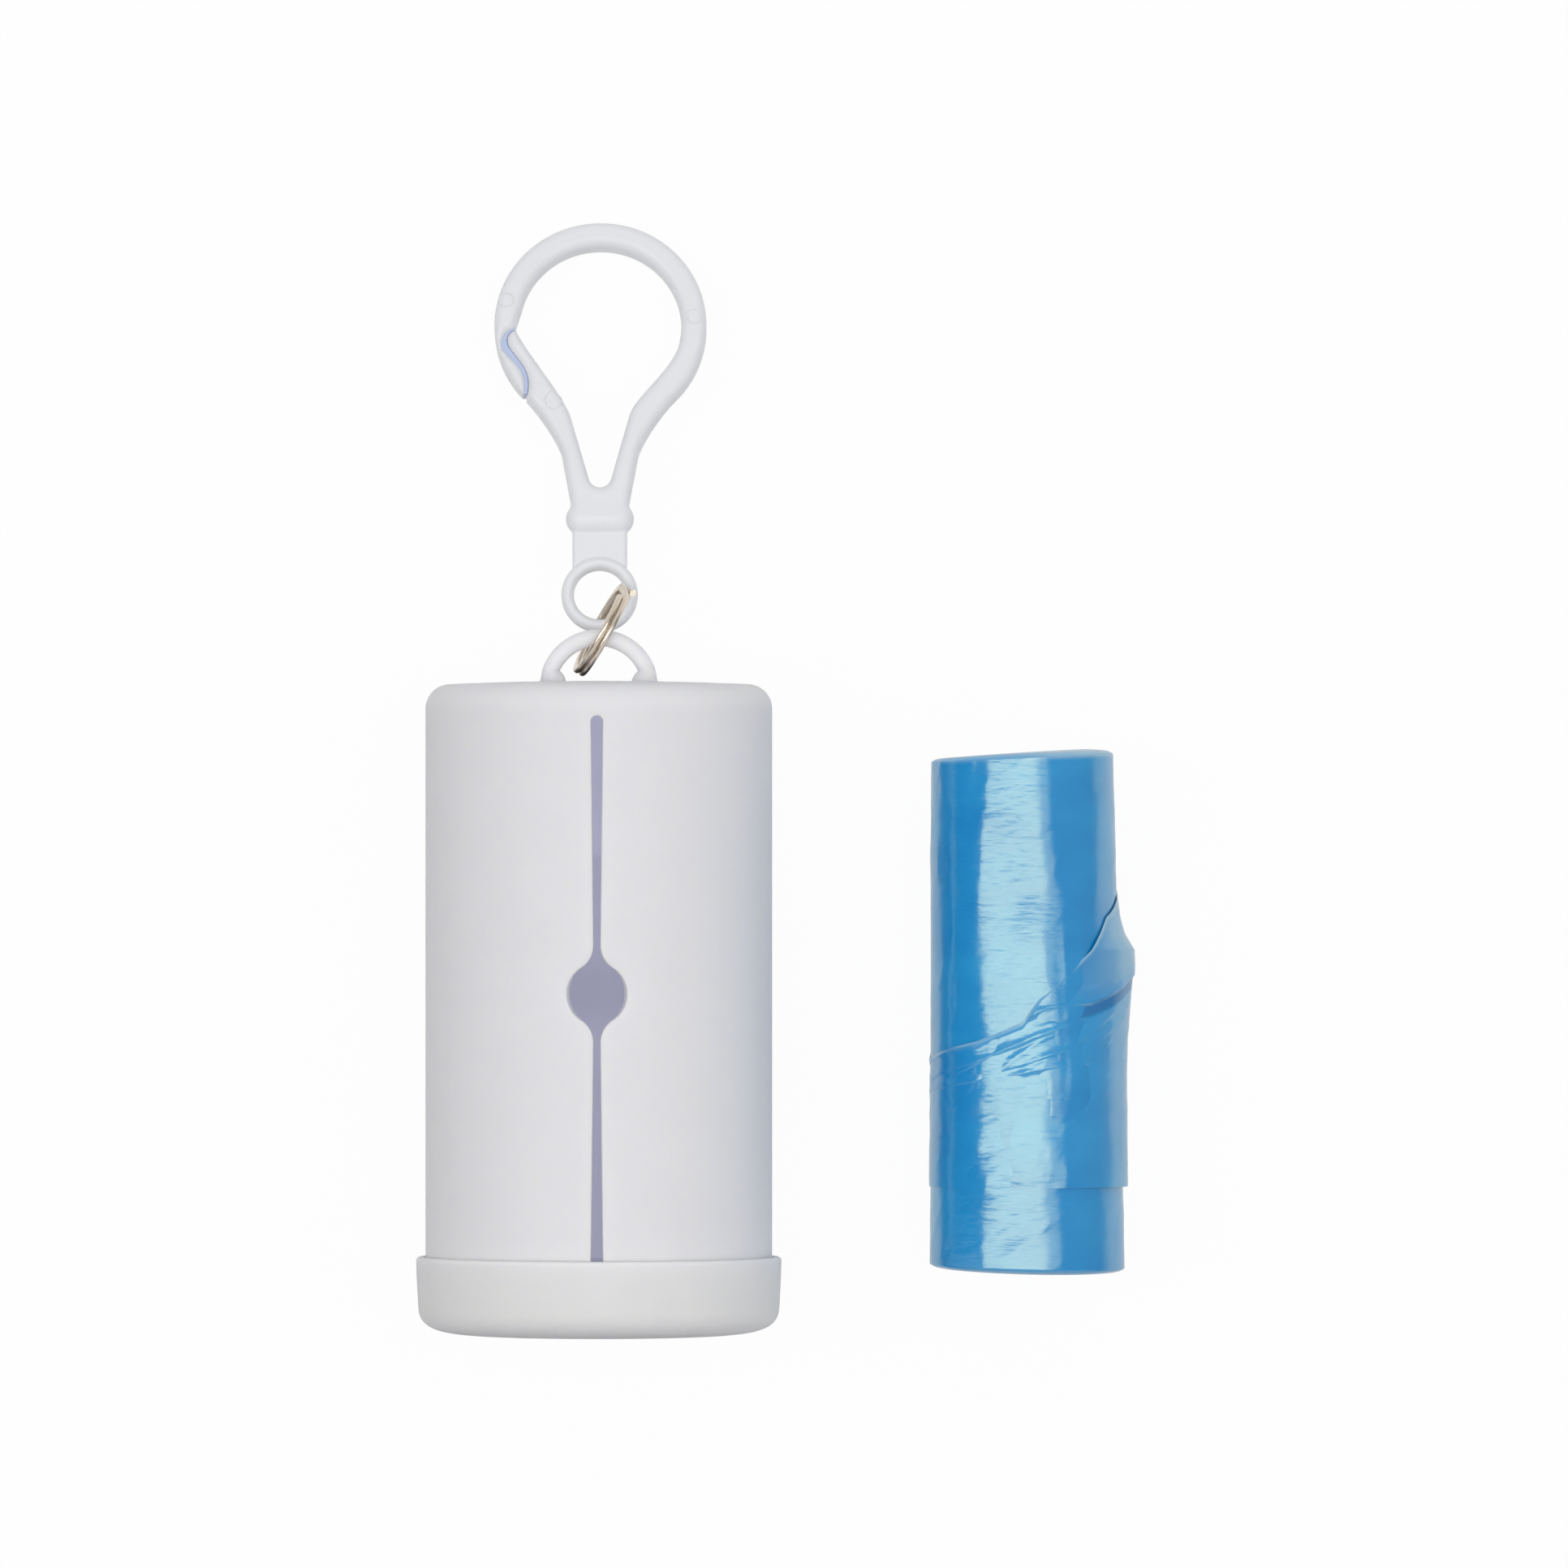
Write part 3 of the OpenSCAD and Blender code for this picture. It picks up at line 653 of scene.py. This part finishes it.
def off_arms(flat):
    """Distance from the flat outline of the crown and both arms, read off a fine grid."""
    place = (flat - (fine_x[0], fine_u[0])) / fine
    cell = np.clip(place.astype(int), 0, (len(fine_x) - 2, len(fine_u) - 2))
    (i, j), (a, b) = cell.T, (place - cell).T
    low = arms_grid[i, j] * (1 - a) + arms_grid[i + 1, j] * a
    high = arms_grid[i, j + 1] * (1 - a) + arms_grid[i + 1, j + 1] * a
    return low * (1 - b) + high * b


def rounded_plate(side, w, half, edge):
    """Distance from a plate, given the distance from its outline, with its edges rounded."""
    a, b = side + edge, np.abs(w) - half + edge
    return np.minimum(np.maximum(a, b), 0) + np.hypot(np.maximum(a, 0), np.maximum(b, 0)) - edge


def joined(a, b, soft):
    """Union of two distances, with a fillet."""
    h = np.maximum(soft - np.abs(a - b), 0) / soft
    return np.minimum(a, b) - h * h * soft / 4


def off_hook(p, arms):
    """Distance from the hook, in its own frame of across, along and up."""
    x, u, w = p.T
    body = rounded_plate(arms, w, hook_t / 2, np.where(w > 0, upper_edge_r, lower_edge_r))
    beside = np.maximum(np.abs(x) - (collar_half - collar_r), 0)
    collar = np.sqrt(beside ** 2 + (u - collar_u) ** 2 + w ** 2) - collar_r
    tail_side = np.maximum(np.abs(x) - tail_half, np.maximum(tail_foot_u - u, u - collar_u))
    tail = rounded_plate(tail_side, w, tail_t / 2, tail_edge_r)
    eye = np.hypot(np.hypot(x, u - eye_r) - eye_r, w * eye_bar_r / eye_deep) - eye_bar_r
    body_and_collar = joined(body, collar, collar_fillet)
    return joined(body_and_collar, joined(tail, eye, eye_fillet), tail_fillet)


def net(values, low, size):
    """Quads round a solid given by distances on a grid, with one point in each crossed cell."""
    inside = values < 0
    count = np.zeros([n - 1 for n in values.shape])
    total = np.zeros((*count.shape, 3))
    edges = []
    for axis in range(3):
        u, v = [a for a in range(3) if a != axis]
        here = [slice(None)] * 3
        there = [slice(None)] * 3
        here[axis], there[axis] = slice(None, -1), slice(1, None)
        a, b = values[tuple(here)], values[tuple(there)]
        crossed = inside[tuple(here)] != inside[tuple(there)]
        share = np.where(crossed, a / np.where(crossed, a - b, 1), 0)
        for du in (0, 1):
            for dv in (0, 1):
                cut = [slice(None)] * 3
                cut[u] = slice(du, du + count.shape[u])
                cut[v] = slice(dv, dv + count.shape[v])
                hit = crossed[tuple(cut)]
                count += hit
                total[..., axis] += share[tuple(cut)]
                total[..., u] += du * hit
                total[..., v] += dv * hit
        edges.append((axis, u, v, np.argwhere(crossed)))
    cells = np.argwhere(count > 0)
    number = np.full(count.shape, -1)
    number[tuple(cells.T)] = np.arange(len(cells))
    points = low + (cells + total[tuple(cells.T)] / count[tuple(cells.T)][:, None]) * size
    quads = []
    for axis, u, v, starts in edges:
        ring_of_cells = []
        for du, dv in ((0, 0), (1, 0), (1, 1), (0, 1)):
            cell = starts.copy()
            cell[:, u] -= du
            cell[:, v] -= dv
            ring_of_cells.append(number[tuple(cell.T)])
        quads.append(np.column_stack(ring_of_cells))
    return points, np.concatenate(quads)


voxel = 0.2
axes = [np.arange(low, high, voxel) for low, high in zip(net_low, net_high)]
flat_grid = np.stack(np.meshgrid(axes[0], axes[1], indexing="ij"), -1)
arms = off_arms(flat_grid.reshape(-1, 2)).reshape(flat_grid.shape[:2])
grid = np.stack(np.meshgrid(*axes, indexing="ij"), -1)
values = off_hook(grid.reshape(-1, 3), np.repeat(arms.ravel(), len(axes[2]))).reshape(grid.shape[:3])
hook_points, hook_quads = net(values, net_low, voxel)
reach = 0.02
for again in range(2):                 # Each round pulls the points closer to the true surface
    flat = hook_points[:, :2]
    here = off_arms(flat)
    value = off_hook(hook_points, here)
    slopes = [
        off_hook(hook_points + (reach, 0, 0), off_arms(flat + (reach, 0))) - value,
        off_hook(hook_points + (0, reach, 0), off_arms(flat + (0, reach))) - value,
        off_hook(hook_points + (0, 0, reach), here) - value,
    ]
    slope = np.stack(slopes, 1) / reach
    pull = value[:, None] * slope / np.maximum((slope ** 2).sum(1), 0.5)[:, None]
    hook_points = hook_points - np.clip(pull, -voxel / 2, voxel / 2)


def hook_to_world(p):
    """Lays points of the hook's own frame where the hook lies."""
    x, u, w = np.asarray(p, float).T
    c, s = math.cos(hook_tilt), math.sin(hook_tilt)
    return np.column_stack([x, hook_rim[0] + u * c + w * s, hook_rim[1] - u * s + w * c])


gate_root_u = 18.2                     # The gate's arm bends from here upwards
gate_area = np.concatenate([
    [(-0.3, gate_root_u), (-0.3, 28.0), (-8.0, 37.0)],
    (gate_lip + nose_lip) / 2, [(-9.0, 26.5), (-9.0, gate_root_u)],
])
middles = hook_points[hook_quads].mean(1)
in_gate = off_polygon(middles[:, :2], gate_area) < 0
at_cut = np.intersect1d(hook_quads[in_gate], hook_quads[~in_gate])
at_cut = at_cut[np.abs(hook_points[at_cut, 1] - gate_root_u) < 2 * voxel]
hook_points[at_cut, 1] = gate_root_u
plastic = new_finish("satin_plastic", (0.815, 0.822, 0.845), 0.38)
add_grain(plastic, 0.12, 0.004, (0.32, 0.45), (0.79, 0.797, 0.82), stretch=(1.5, 0.6, 1.5))
world_points = hook_to_world(hook_points)


def part_of_hook(name, faces, body):
    """A piece from some of the hook's faces, with its cut filled."""
    used, faces = np.unique(faces, return_inverse=True)
    piece = new_piece(name, world_points[used], faces.reshape(-1, 4).tolist(), plastic, body)
    work = bmesh.new()
    work.from_mesh(piece.data)
    rim = [edge for edge in work.edges if edge.is_boundary]
    lids = bmesh.ops.holes_fill(work, edges=rim, sides=0)["faces"]
    for edge in rim:
        edge.smooth = False
    bmesh.ops.poke(work, faces=lids)
    work.to_mesh(piece.data)
    work.free()
    return piece


hook = part_of_hook("hook_body", hook_quads[~in_gate], "hook")
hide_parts("hook_frame")
gate = part_of_hook("hook_gate_arm", hook_quads[in_gate], None)
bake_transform(gate)
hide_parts("hook_gate")


# ---- Lap in the mouth --------------------------------------------------------------------------
# A lip on the nose, which runs under the gate's edge and closes the mouth from below. It lies deep
# between the two walls, and is painted shade: a darker bluish copy of the hook's plastic, for the
# shadow in the narrow gap.
lap_top, lap_bottom = 0.9, -1.3
lap_from, lap_to = -0.15, 0.96         # Its edges, as shares of the way from the nose to the gate
# Painted shade: the gap's shadow, as a darker bluish plastic
shade = new_finish("plastic_in_shade", (0.5, 0.58, 0.8), 0.5)
add_grain(shade, 0.12, 0.004, (0.4, 0.55), (0.48, 0.56, 0.78))
nose_edge = nose_lip + (gate_lip - nose_lip) * lap_from
lap_edge = nose_lip + (gate_lip - nose_lip) * lap_to
count = len(nose_lip) - 1              # It ends short of the hook's outside
corners = ((nose_edge, lap_top), (lap_edge, lap_top), (lap_edge, lap_bottom), (nose_edge, lap_bottom))
rows = [np.column_stack([edge[:count], np.full(count, w)]) for edge, w in corners]
lap_points = hook_to_world(np.concatenate(rows))
lap_faces = grid_faces(4, count)
lap_faces += [(j, j + 1, 3 * count + j + 1, 3 * count + j) for j in range(count - 1)]
lap_faces += [tuple(k * count for k in range(4)), tuple(k * count + count - 1 for k in range(4))]
lap = new_piece("mouth_lap_painted_shade", lap_points, lap_faces, shade, "hook", sharp=40)


# ---- Ejector marks -----------------------------------------------------------------------------
# Faint raised rings in the hook's own plastic, which the mould's ejector pins leave on its upper
# face: one at the nose, one on the gate and one on the crown.
mark_sunk = 0.005


def pin_mark(name, body, x, u, mark_r):
    """A round bead, half sunk in the hook's upper face at a place in its own frame."""
    tree, size = new_tree(name, Mark_Radius=mark_r * mm, Bead=0.12 * mm)
    circle = "GeometryNodeCurvePrimitiveCircle"
    mark = add_node(tree, circle, Resolution=48, Radius=size["Mark_Radius"]).outputs[0]
    bead = add_node(tree, circle, Resolution=8, Radius=size["Bead"]).outputs[0]
    tube = add_node(tree, "GeometryNodeCurveToMesh", Curve=mark, Profile_Curve=bead)
    piece = grown(tree, tube.outputs[0], name, plastic, body)
    for corner in piece.data.vertices:
        place = np.array(corner.co) / mm + (x, u, 0)
        past = max(0, off_arms(place[None, :2])[0] + upper_edge_r)
        edge_rise = math.sqrt(max(0, upper_edge_r ** 2 - past ** 2))
        place[2] += hook_t / 2 - upper_edge_r + edge_rise - mark_sunk
        corner.co = hook_to_world([place])[0] * mm


pin_mark("pin_mark_nose", "hook", -11.24, 39.89, 0.83)
pin_mark("pin_mark_gate", "gate", -5.57, 27.45, 1.0)
pin_mark("pin_mark_crown", "hook", 11.18, 37.86, 0.83)


# ---- Core of the roll --------------------------------------------------------------------------
# A plain tube of wound brown paper, with the bags rolled tightly onto it. Its cut ends lie about
# 1 mm inside the ends of the roll.
roll_axis = np.array([50.8, 7.4, -9.95])
roll_len = 61.6
core_r, core_bore_r, core_inset, core_top_y = 6.0, 5.0, 0.8, 60.3
card = new_finish("brown_card", (0.5, 0.38, 0.26), 0.8)
add_grain(card, 0.1, 0.02, (0.7, 0.95), (0.42, 0.31, 0.2), stretch=(1, 0.3, 1))
core_points, core_faces = turned([
    (core_bore_r, core_inset), (core_r, core_inset),
    (core_r, core_top_y), (core_bore_r, core_top_y), (core_bore_r, core_inset),
], 96)
core = new_piece("core_tube", core_points + roll_axis, core_faces, card, "roll", sharp=40)
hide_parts("roll_core")


# ---- Wound bags --------------------------------------------------------------------------------
# Flattened bags of glossy blue film, wound tight. The film is stretched round the roll, so its
# wrinkles run mostly round it, and the roll is a little thinner towards its upper end.
def roll_r(y):
    """The roll's radius at a height."""
    return 11.6 - 0.8 * y / roll_len


def roll_shift(y):
    """How far the roll's middle lies to the right of its core's at a height."""
    return 0.05 - 0.65 * y / roll_len


def ridges(u, v, seed, count, area, tilt, lengths, widths, heights):
    """Sum of small straight wrinkles at random places on unrolled film, all in millimetres."""
    dice = np.random.default_rng(seed)
    total = np.zeros(u.shape)
    for i in range(count):
        at_u, at_v = dice.uniform(area[0], area[1]), dice.uniform(area[2], area[3])
        turn = math.radians(dice.normal(*tilt))
        length, width = dice.uniform(*lengths), dice.uniform(*widths)
        height = dice.uniform(*heights) * dice.choice([-0.7, 1])
        bend = dice.normal(0, 0.03)
        along = (u - at_u) * math.cos(turn) + (v - at_v) * math.sin(turn)
        across = (v - at_v) * math.cos(turn) - (u - at_u) * math.sin(turn) + bend * along ** 2
        total += height * np.exp(-(along / length) ** 2 - np.abs(across / width) ** 1.5)
    return total


def lumps(u, v, seed, count, area, size_u, size_v, heights):
    """Broad soft swellings, which bend the long reflections."""
    dice = np.random.default_rng(seed)
    total = np.zeros(u.shape)
    for i in range(count):
        at_u, at_v = dice.uniform(area[0], area[1]), dice.uniform(area[2], area[3])
        wide, tall, height = dice.uniform(*size_u), dice.uniform(*size_v), dice.uniform(*heights)
        total += height * np.exp(-((u - at_u) / wide) ** 2 - ((v - at_v) / tall) ** 2)
    return total


# The film is patchy where its layers cling or stand apart, glossy, and finely wrinkled
film = new_finish("blue_film", (0.002, 0.245, 0.6), 0.24, Specular_IOR_Level=1, IOR=1.7,
                  Specular_Tint=(0.92, 1, 0.55, 1))
tree = film.node_tree
unrolled = add_node(tree, "ShaderNodeUVMap", {"uv_map": "film"}).outputs[0]
patterns = []
for stretch, turn in (((0.22, 1.2, 1), 26), ((0.9, 2.4, 1), -14), ((0.05, 0.11, 1), 20)):
    place = add_node(tree, "ShaderNodeMapping", Vector=unrolled, Scale=stretch,
                     Rotation=(0, 0, math.radians(turn))).outputs[0]
    patterns.append(noise(tree, place, 1, 5, 0.55))
long_folds, fine_folds, patches = patterns
relief = calculate(tree, "ADD", calculate(tree, "MULTIPLY", fine_folds, 0.4), long_folds)
mottled = colour_ramp(tree, patches, ((0.35, (0.002, 0.258, 0.655)), (0.68, (0.012, 0.338, 0.735))))
# Paler where the film is thinner or stands off and where sheen is painted on, and deeper blue in two
# layers and in painted shade
thin = add_node(tree, "ShaderNodeAttribute", {"attribute_name": "thin"}).outputs["Fac"]
deeper = blended(tree, calculate(tree, "MULTIPLY", thin, -1), mottled, (0, 0.15, 0.45, 1))
coat(film, Base_Color=blended(tree, thin, deeper, (0.3, 0.52, 0.74, 1)),
     Normal=bump(tree, relief, 0.042 * mm), Roughness=ramp(tree, fine_folds, 0, 1, 0.13, 0.24))

turns = np.radians(np.linspace(-180, 180, 281))
angle = np.degrees(turns)
off_table = np.clip((160 - np.abs(angle)) / 25, 0, 1)      # Nothing where the roll rests on the table
heights = np.linspace(0.5, roll_len - 0.5, 300)
unrolled_r = 11.2
film_u, film_v = np.meshgrid(turns * unrolled_r, heights)
whole = (-34, 34, -1, 63)
# Wrinkles and swellings, each kind by its seed, how many, where, at what tilt, and its sizes
wrinkles = ridges(film_u, film_v, 11, 1400, whole, (22, 24), (0.8, 4.5), (0.18, 0.55), (0.003, 0.013))
wrinkles += ridges(film_u, film_v, 12, 150, whole, (27, 14), (2.5, 8), (0.5, 1.6), (0.01, 0.042))
wrinkles += lumps(film_u, film_v, 13, 60, whole, (1.5, 4), (3, 9), (-0.1, 0.1))
wrinkles += lumps(film_u, film_v, 15, 30, (-8, 9, -1, 63), (1.8, 3.5), (3, 7), (-0.26, 0.26))
wrinkles += lumps(film_u, film_v, 14, 420, whole, (0.5, 1.4), (1, 4), (-0.05, 0.05))
wrinkles += ridges(film_u, film_v, 16, 150, whole, (62, 26), (1.5, 6), (0.5, 1.3), (0.015, 0.05))
wrinkles *= off_table
share = ((heights - heights[0]) / (heights[-1] - heights[0]))[:, None]
# The outline of each end, as radii with how far in from the end they lie
ends = [(6.05, 0), (8, -0.05), (9.6, 0), (10.5, 0.06), (11.05, 0.16), (11.4, 0.34)]
lower_edge = 0.05 - 0.25 * np.sin(turns) - 0.3 * np.cos(turns)
upper_edge = 61.4 + 0.5 * np.sin(turns) + 0.1 * np.cos(turns)
rows, row_y = [], []
for r, y in ends:
    rows.append(np.full(len(turns), r))
    row_y.append(lower_edge + y)
rows += list(roll_r(heights)[:, None] + wrinkles)
row_y += list(heights[:, None] + lower_edge * (1 - share) ** 4 + (upper_edge - roll_len) * share ** 4)
for r, y in ends[::-1]:
    rows.append(np.full(len(turns), r - (0.8 if r > 9 else 0)))
    row_y.append(upper_edge - y)
rows.append(rows[0])
row_y.append(row_y[0])
r_grid, y_grid = np.array(rows), np.array(row_y)
x_grid = r_grid * np.sin(turns) + np.where(r_grid > 6.2, roll_shift(y_grid), 0)
film_points = np.stack([x_grid, y_grid, r_grid * np.cos(turns)], -1).reshape(-1, 3) + roll_axis
# The film is painted paler low on both sides, a painted sheen, and round the upper rim, a painted
# highlight, most of all on the right
painted_side_sheen = 0.2 * np.clip((np.abs(angle + 4) - 50) / 20, 0, 1)
rim_turn = np.clip((angle + 5) / 30, 0, 1) * np.clip((150 - angle) / 30, 0, 1)
painted_rim_highlight = np.clip((y_grid - (upper_edge - 1.0)) / 0.25, 0, 1) * (0.25 + 0.5 * rim_turn)
unrolled = np.stack([np.broadcast_to(turns * unrolled_r, y_grid.shape), y_grid], -1)
windings = new_piece("wound_bags", film_points, grid_faces(len(rows), len(turns)), film, "roll",
                     uv=unrolled, thin=np.maximum(painted_rim_highlight, painted_side_sheen))
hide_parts("bag_windings")


# ---- Loose bag ---------------------------------------------------------------------------------
# The last bag, lapped loosely round the lower half. Its upper edge slants up to the right, where
# the film stands off the roll, and below that edge it is twisted into folds.
def along_turn(degrees, values):
    """A height or depth that is given at a few angles round the roll."""
    return np.interp(angle, degrees, values)[None, :]


def fold(line, height, steep, gentle, start, end):
    """A fold in the film along a line: it drops off steeply below it and gently above it."""
    off = bag_y - line
    shape = np.where(off > 0, np.exp(-np.abs(off / gentle) ** 1.3), np.exp(-(off / steep) ** 2))
    return height * shape * np.clip((angle - start) / 12, 0, 1) * np.clip((end - angle) / 12, 0, 1)


hem_y = 10.0
share = np.linspace(0, 1, 200)[:, None]
upper_line = along_turn([-180, -90, -30, -2, 8, 20, 30, 43, 59, 90, 180],
                        [35, 24.9, 27.4, 29.6, 32.5, 34.4, 36, 38.2, 42, 45.2, 35])
bag_y = hem_y + share * (upper_line - hem_y)
stands_off = np.interp(bag_y, [10, 26.5, 30.4, 34.3, 36.2, 38.1, 40, 42, 45.2],
                       [12, 12, 12.3, 12.6, 12.8, 12.8, 11.7, 11.15, 10.72])
stands_off = np.maximum(stands_off - roll_r(bag_y) - roll_shift(bag_y) - 0.12, 0)
to_right = np.exp(-(np.abs(angle - 96) / 44) ** 2.4)[None, :]
bag_unrolled_r = 11.5
bag_u = np.broadcast_to(turns * bag_unrolled_r, bag_y.shape)
middle_line = along_turn([-90, -8, 12, 43, 62, 80, 110], [24.9, 29.2, 31.2, 31.9, 33.2, 34.9, 36])
lower_line = along_turn([-85, -36, -8, 20, 50], [21.2, 22.6, 23.4, 24.3, 25])
twist_1 = along_turn([-60, -8, 25, 50], [22.4, 26.6, 29.3, 30.5])
twist_2 = along_turn([-90, -30, 5, 30], [22.2, 25, 27.9, 29.6])
twist_3 = along_turn([-20, 30, 75], [23.5, 26.8, 32.5])
bag_area = (-34, 34, 8, 48)
folds = ridges(bag_u, bag_y, 21, 800, bag_area, (22, 26), (0.8, 3.6), (0.18, 0.55), (0.004, 0.017))
folds += ridges(bag_u, bag_y, 22, 70, (-20, 24, 20, 38), (26, 8), (2.5, 6), (0.3, 0.7), (0.02, 0.07))
folds += lumps(bag_u, bag_y, 23, 50, bag_area, (1.5, 4), (2, 6), (-0.1, 0.13))
folds += lumps(bag_u, bag_y, 25, 12, (-8, 9, 10, 30), (1.8, 3.5), (3, 6), (-0.12, 0.2))
folds += lumps(bag_u, bag_y, 24, 240, bag_area, (0.5, 1.4), (1, 3.5), (-0.05, 0.05))
folds += ridges(bag_u, bag_y, 26, 110, bag_area, (42, 26), (1.5, 6), (0.5, 1.4), (0.015, 0.055))
folds *= off_table
folds += fold(upper_line - 0.35, 0.14, 0.2, 0.25, -95, 80)
folds += fold(middle_line, 0.2, 0.16, 1.6, -95, 118) + fold(lower_line, 0.13, 0.14, 1.2, -95, 48)
folds += fold(twist_1, 0.1, 0.14, 0.7, -62, 46) + fold(twist_2, 0.09, 0.14, 0.8, -90, 34)
folds += fold(twist_3, 0.08, 0.16, 0.9, -22, 74)
bag_lift, bag_skin, resting_r = 0.08, 0.04, 11.6
bag_r = roll_r(bag_y) + bag_lift + stands_off * to_right + np.maximum(folds, -0.05)
bag_r = np.where(np.abs(angle) > 150, np.minimum(bag_r, resting_r), bag_r)


def bag_points(r):
    """Places the loose bag's grid of radii round the roll."""
    return np.stack([r * np.sin(turns) + roll_shift(bag_y), bag_y, r * np.cos(turns)], -1) + roll_axis


outer_film, inner_film = bag_points(bag_r), bag_points(bag_r - bag_skin)
shell = np.concatenate([outer_film, inner_film[::-1], outer_film[:1]])
flap = np.clip((bag_y - middle_line) / 2, 0, 1) * np.clip((angle - 20) / 40, 0, 1)
edge = np.clip(1 - (upper_line - bag_y) / 0.5, 0, 1)
# Along the middle fold the film lies in two layers and is deeper blue: more film, and painted shade in
# the fold
doubled_and_shaded = np.clip(1.3 - np.abs((bag_y - middle_line + 0.85) / 0.8) ** 3, 0, 1)
doubled_and_shaded *= np.clip((angle - 8) / 15, 0, 1)
# Paler at the flap, along its upper edge and where it stands off, and with painted sheen low on both
# sides
thin = painted_side_sheen + 0.3 * flap + 0.55 * edge + 0.2 * to_right * np.clip(stands_off, 0, 1)
thin = np.clip(thin, 0, 1) * (1 - doubled_and_shaded) - 0.8 * doubled_and_shaded      # Below nothing in the band of two layers: deeper blue, partly painted shade in the fold
thin = np.concatenate([thin, thin[::-1], thin[:1]])
unrolled = np.stack([bag_u + 90, bag_y], -1)
bag = new_piece("lapped_bag", shell.reshape(-1, 3), grid_faces(len(shell), len(turns)), film, "roll",
                sharp=70, uv=np.concatenate([unrolled, unrolled[::-1], unrolled[:1]]), thin=thin)
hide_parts("loose_bag")


# ---- Sticker -----------------------------------------------------------------------------------
# A scrap of the white paper sticker that held the last bag down, left stuck at the bag's edge. Its
# shape is the one that came in with the model, and the film, which is thicker here, hides it.
paper = new_finish("white_paper", (0.8, 0.79, 0.77), 0.7)
add_grain(paper, 0.08, 0.01, (0.6, 0.8), (0.76, 0.75, 0.72))
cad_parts["end_tab"].data.materials.clear()
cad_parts["end_tab"].data.materials.append(paper)
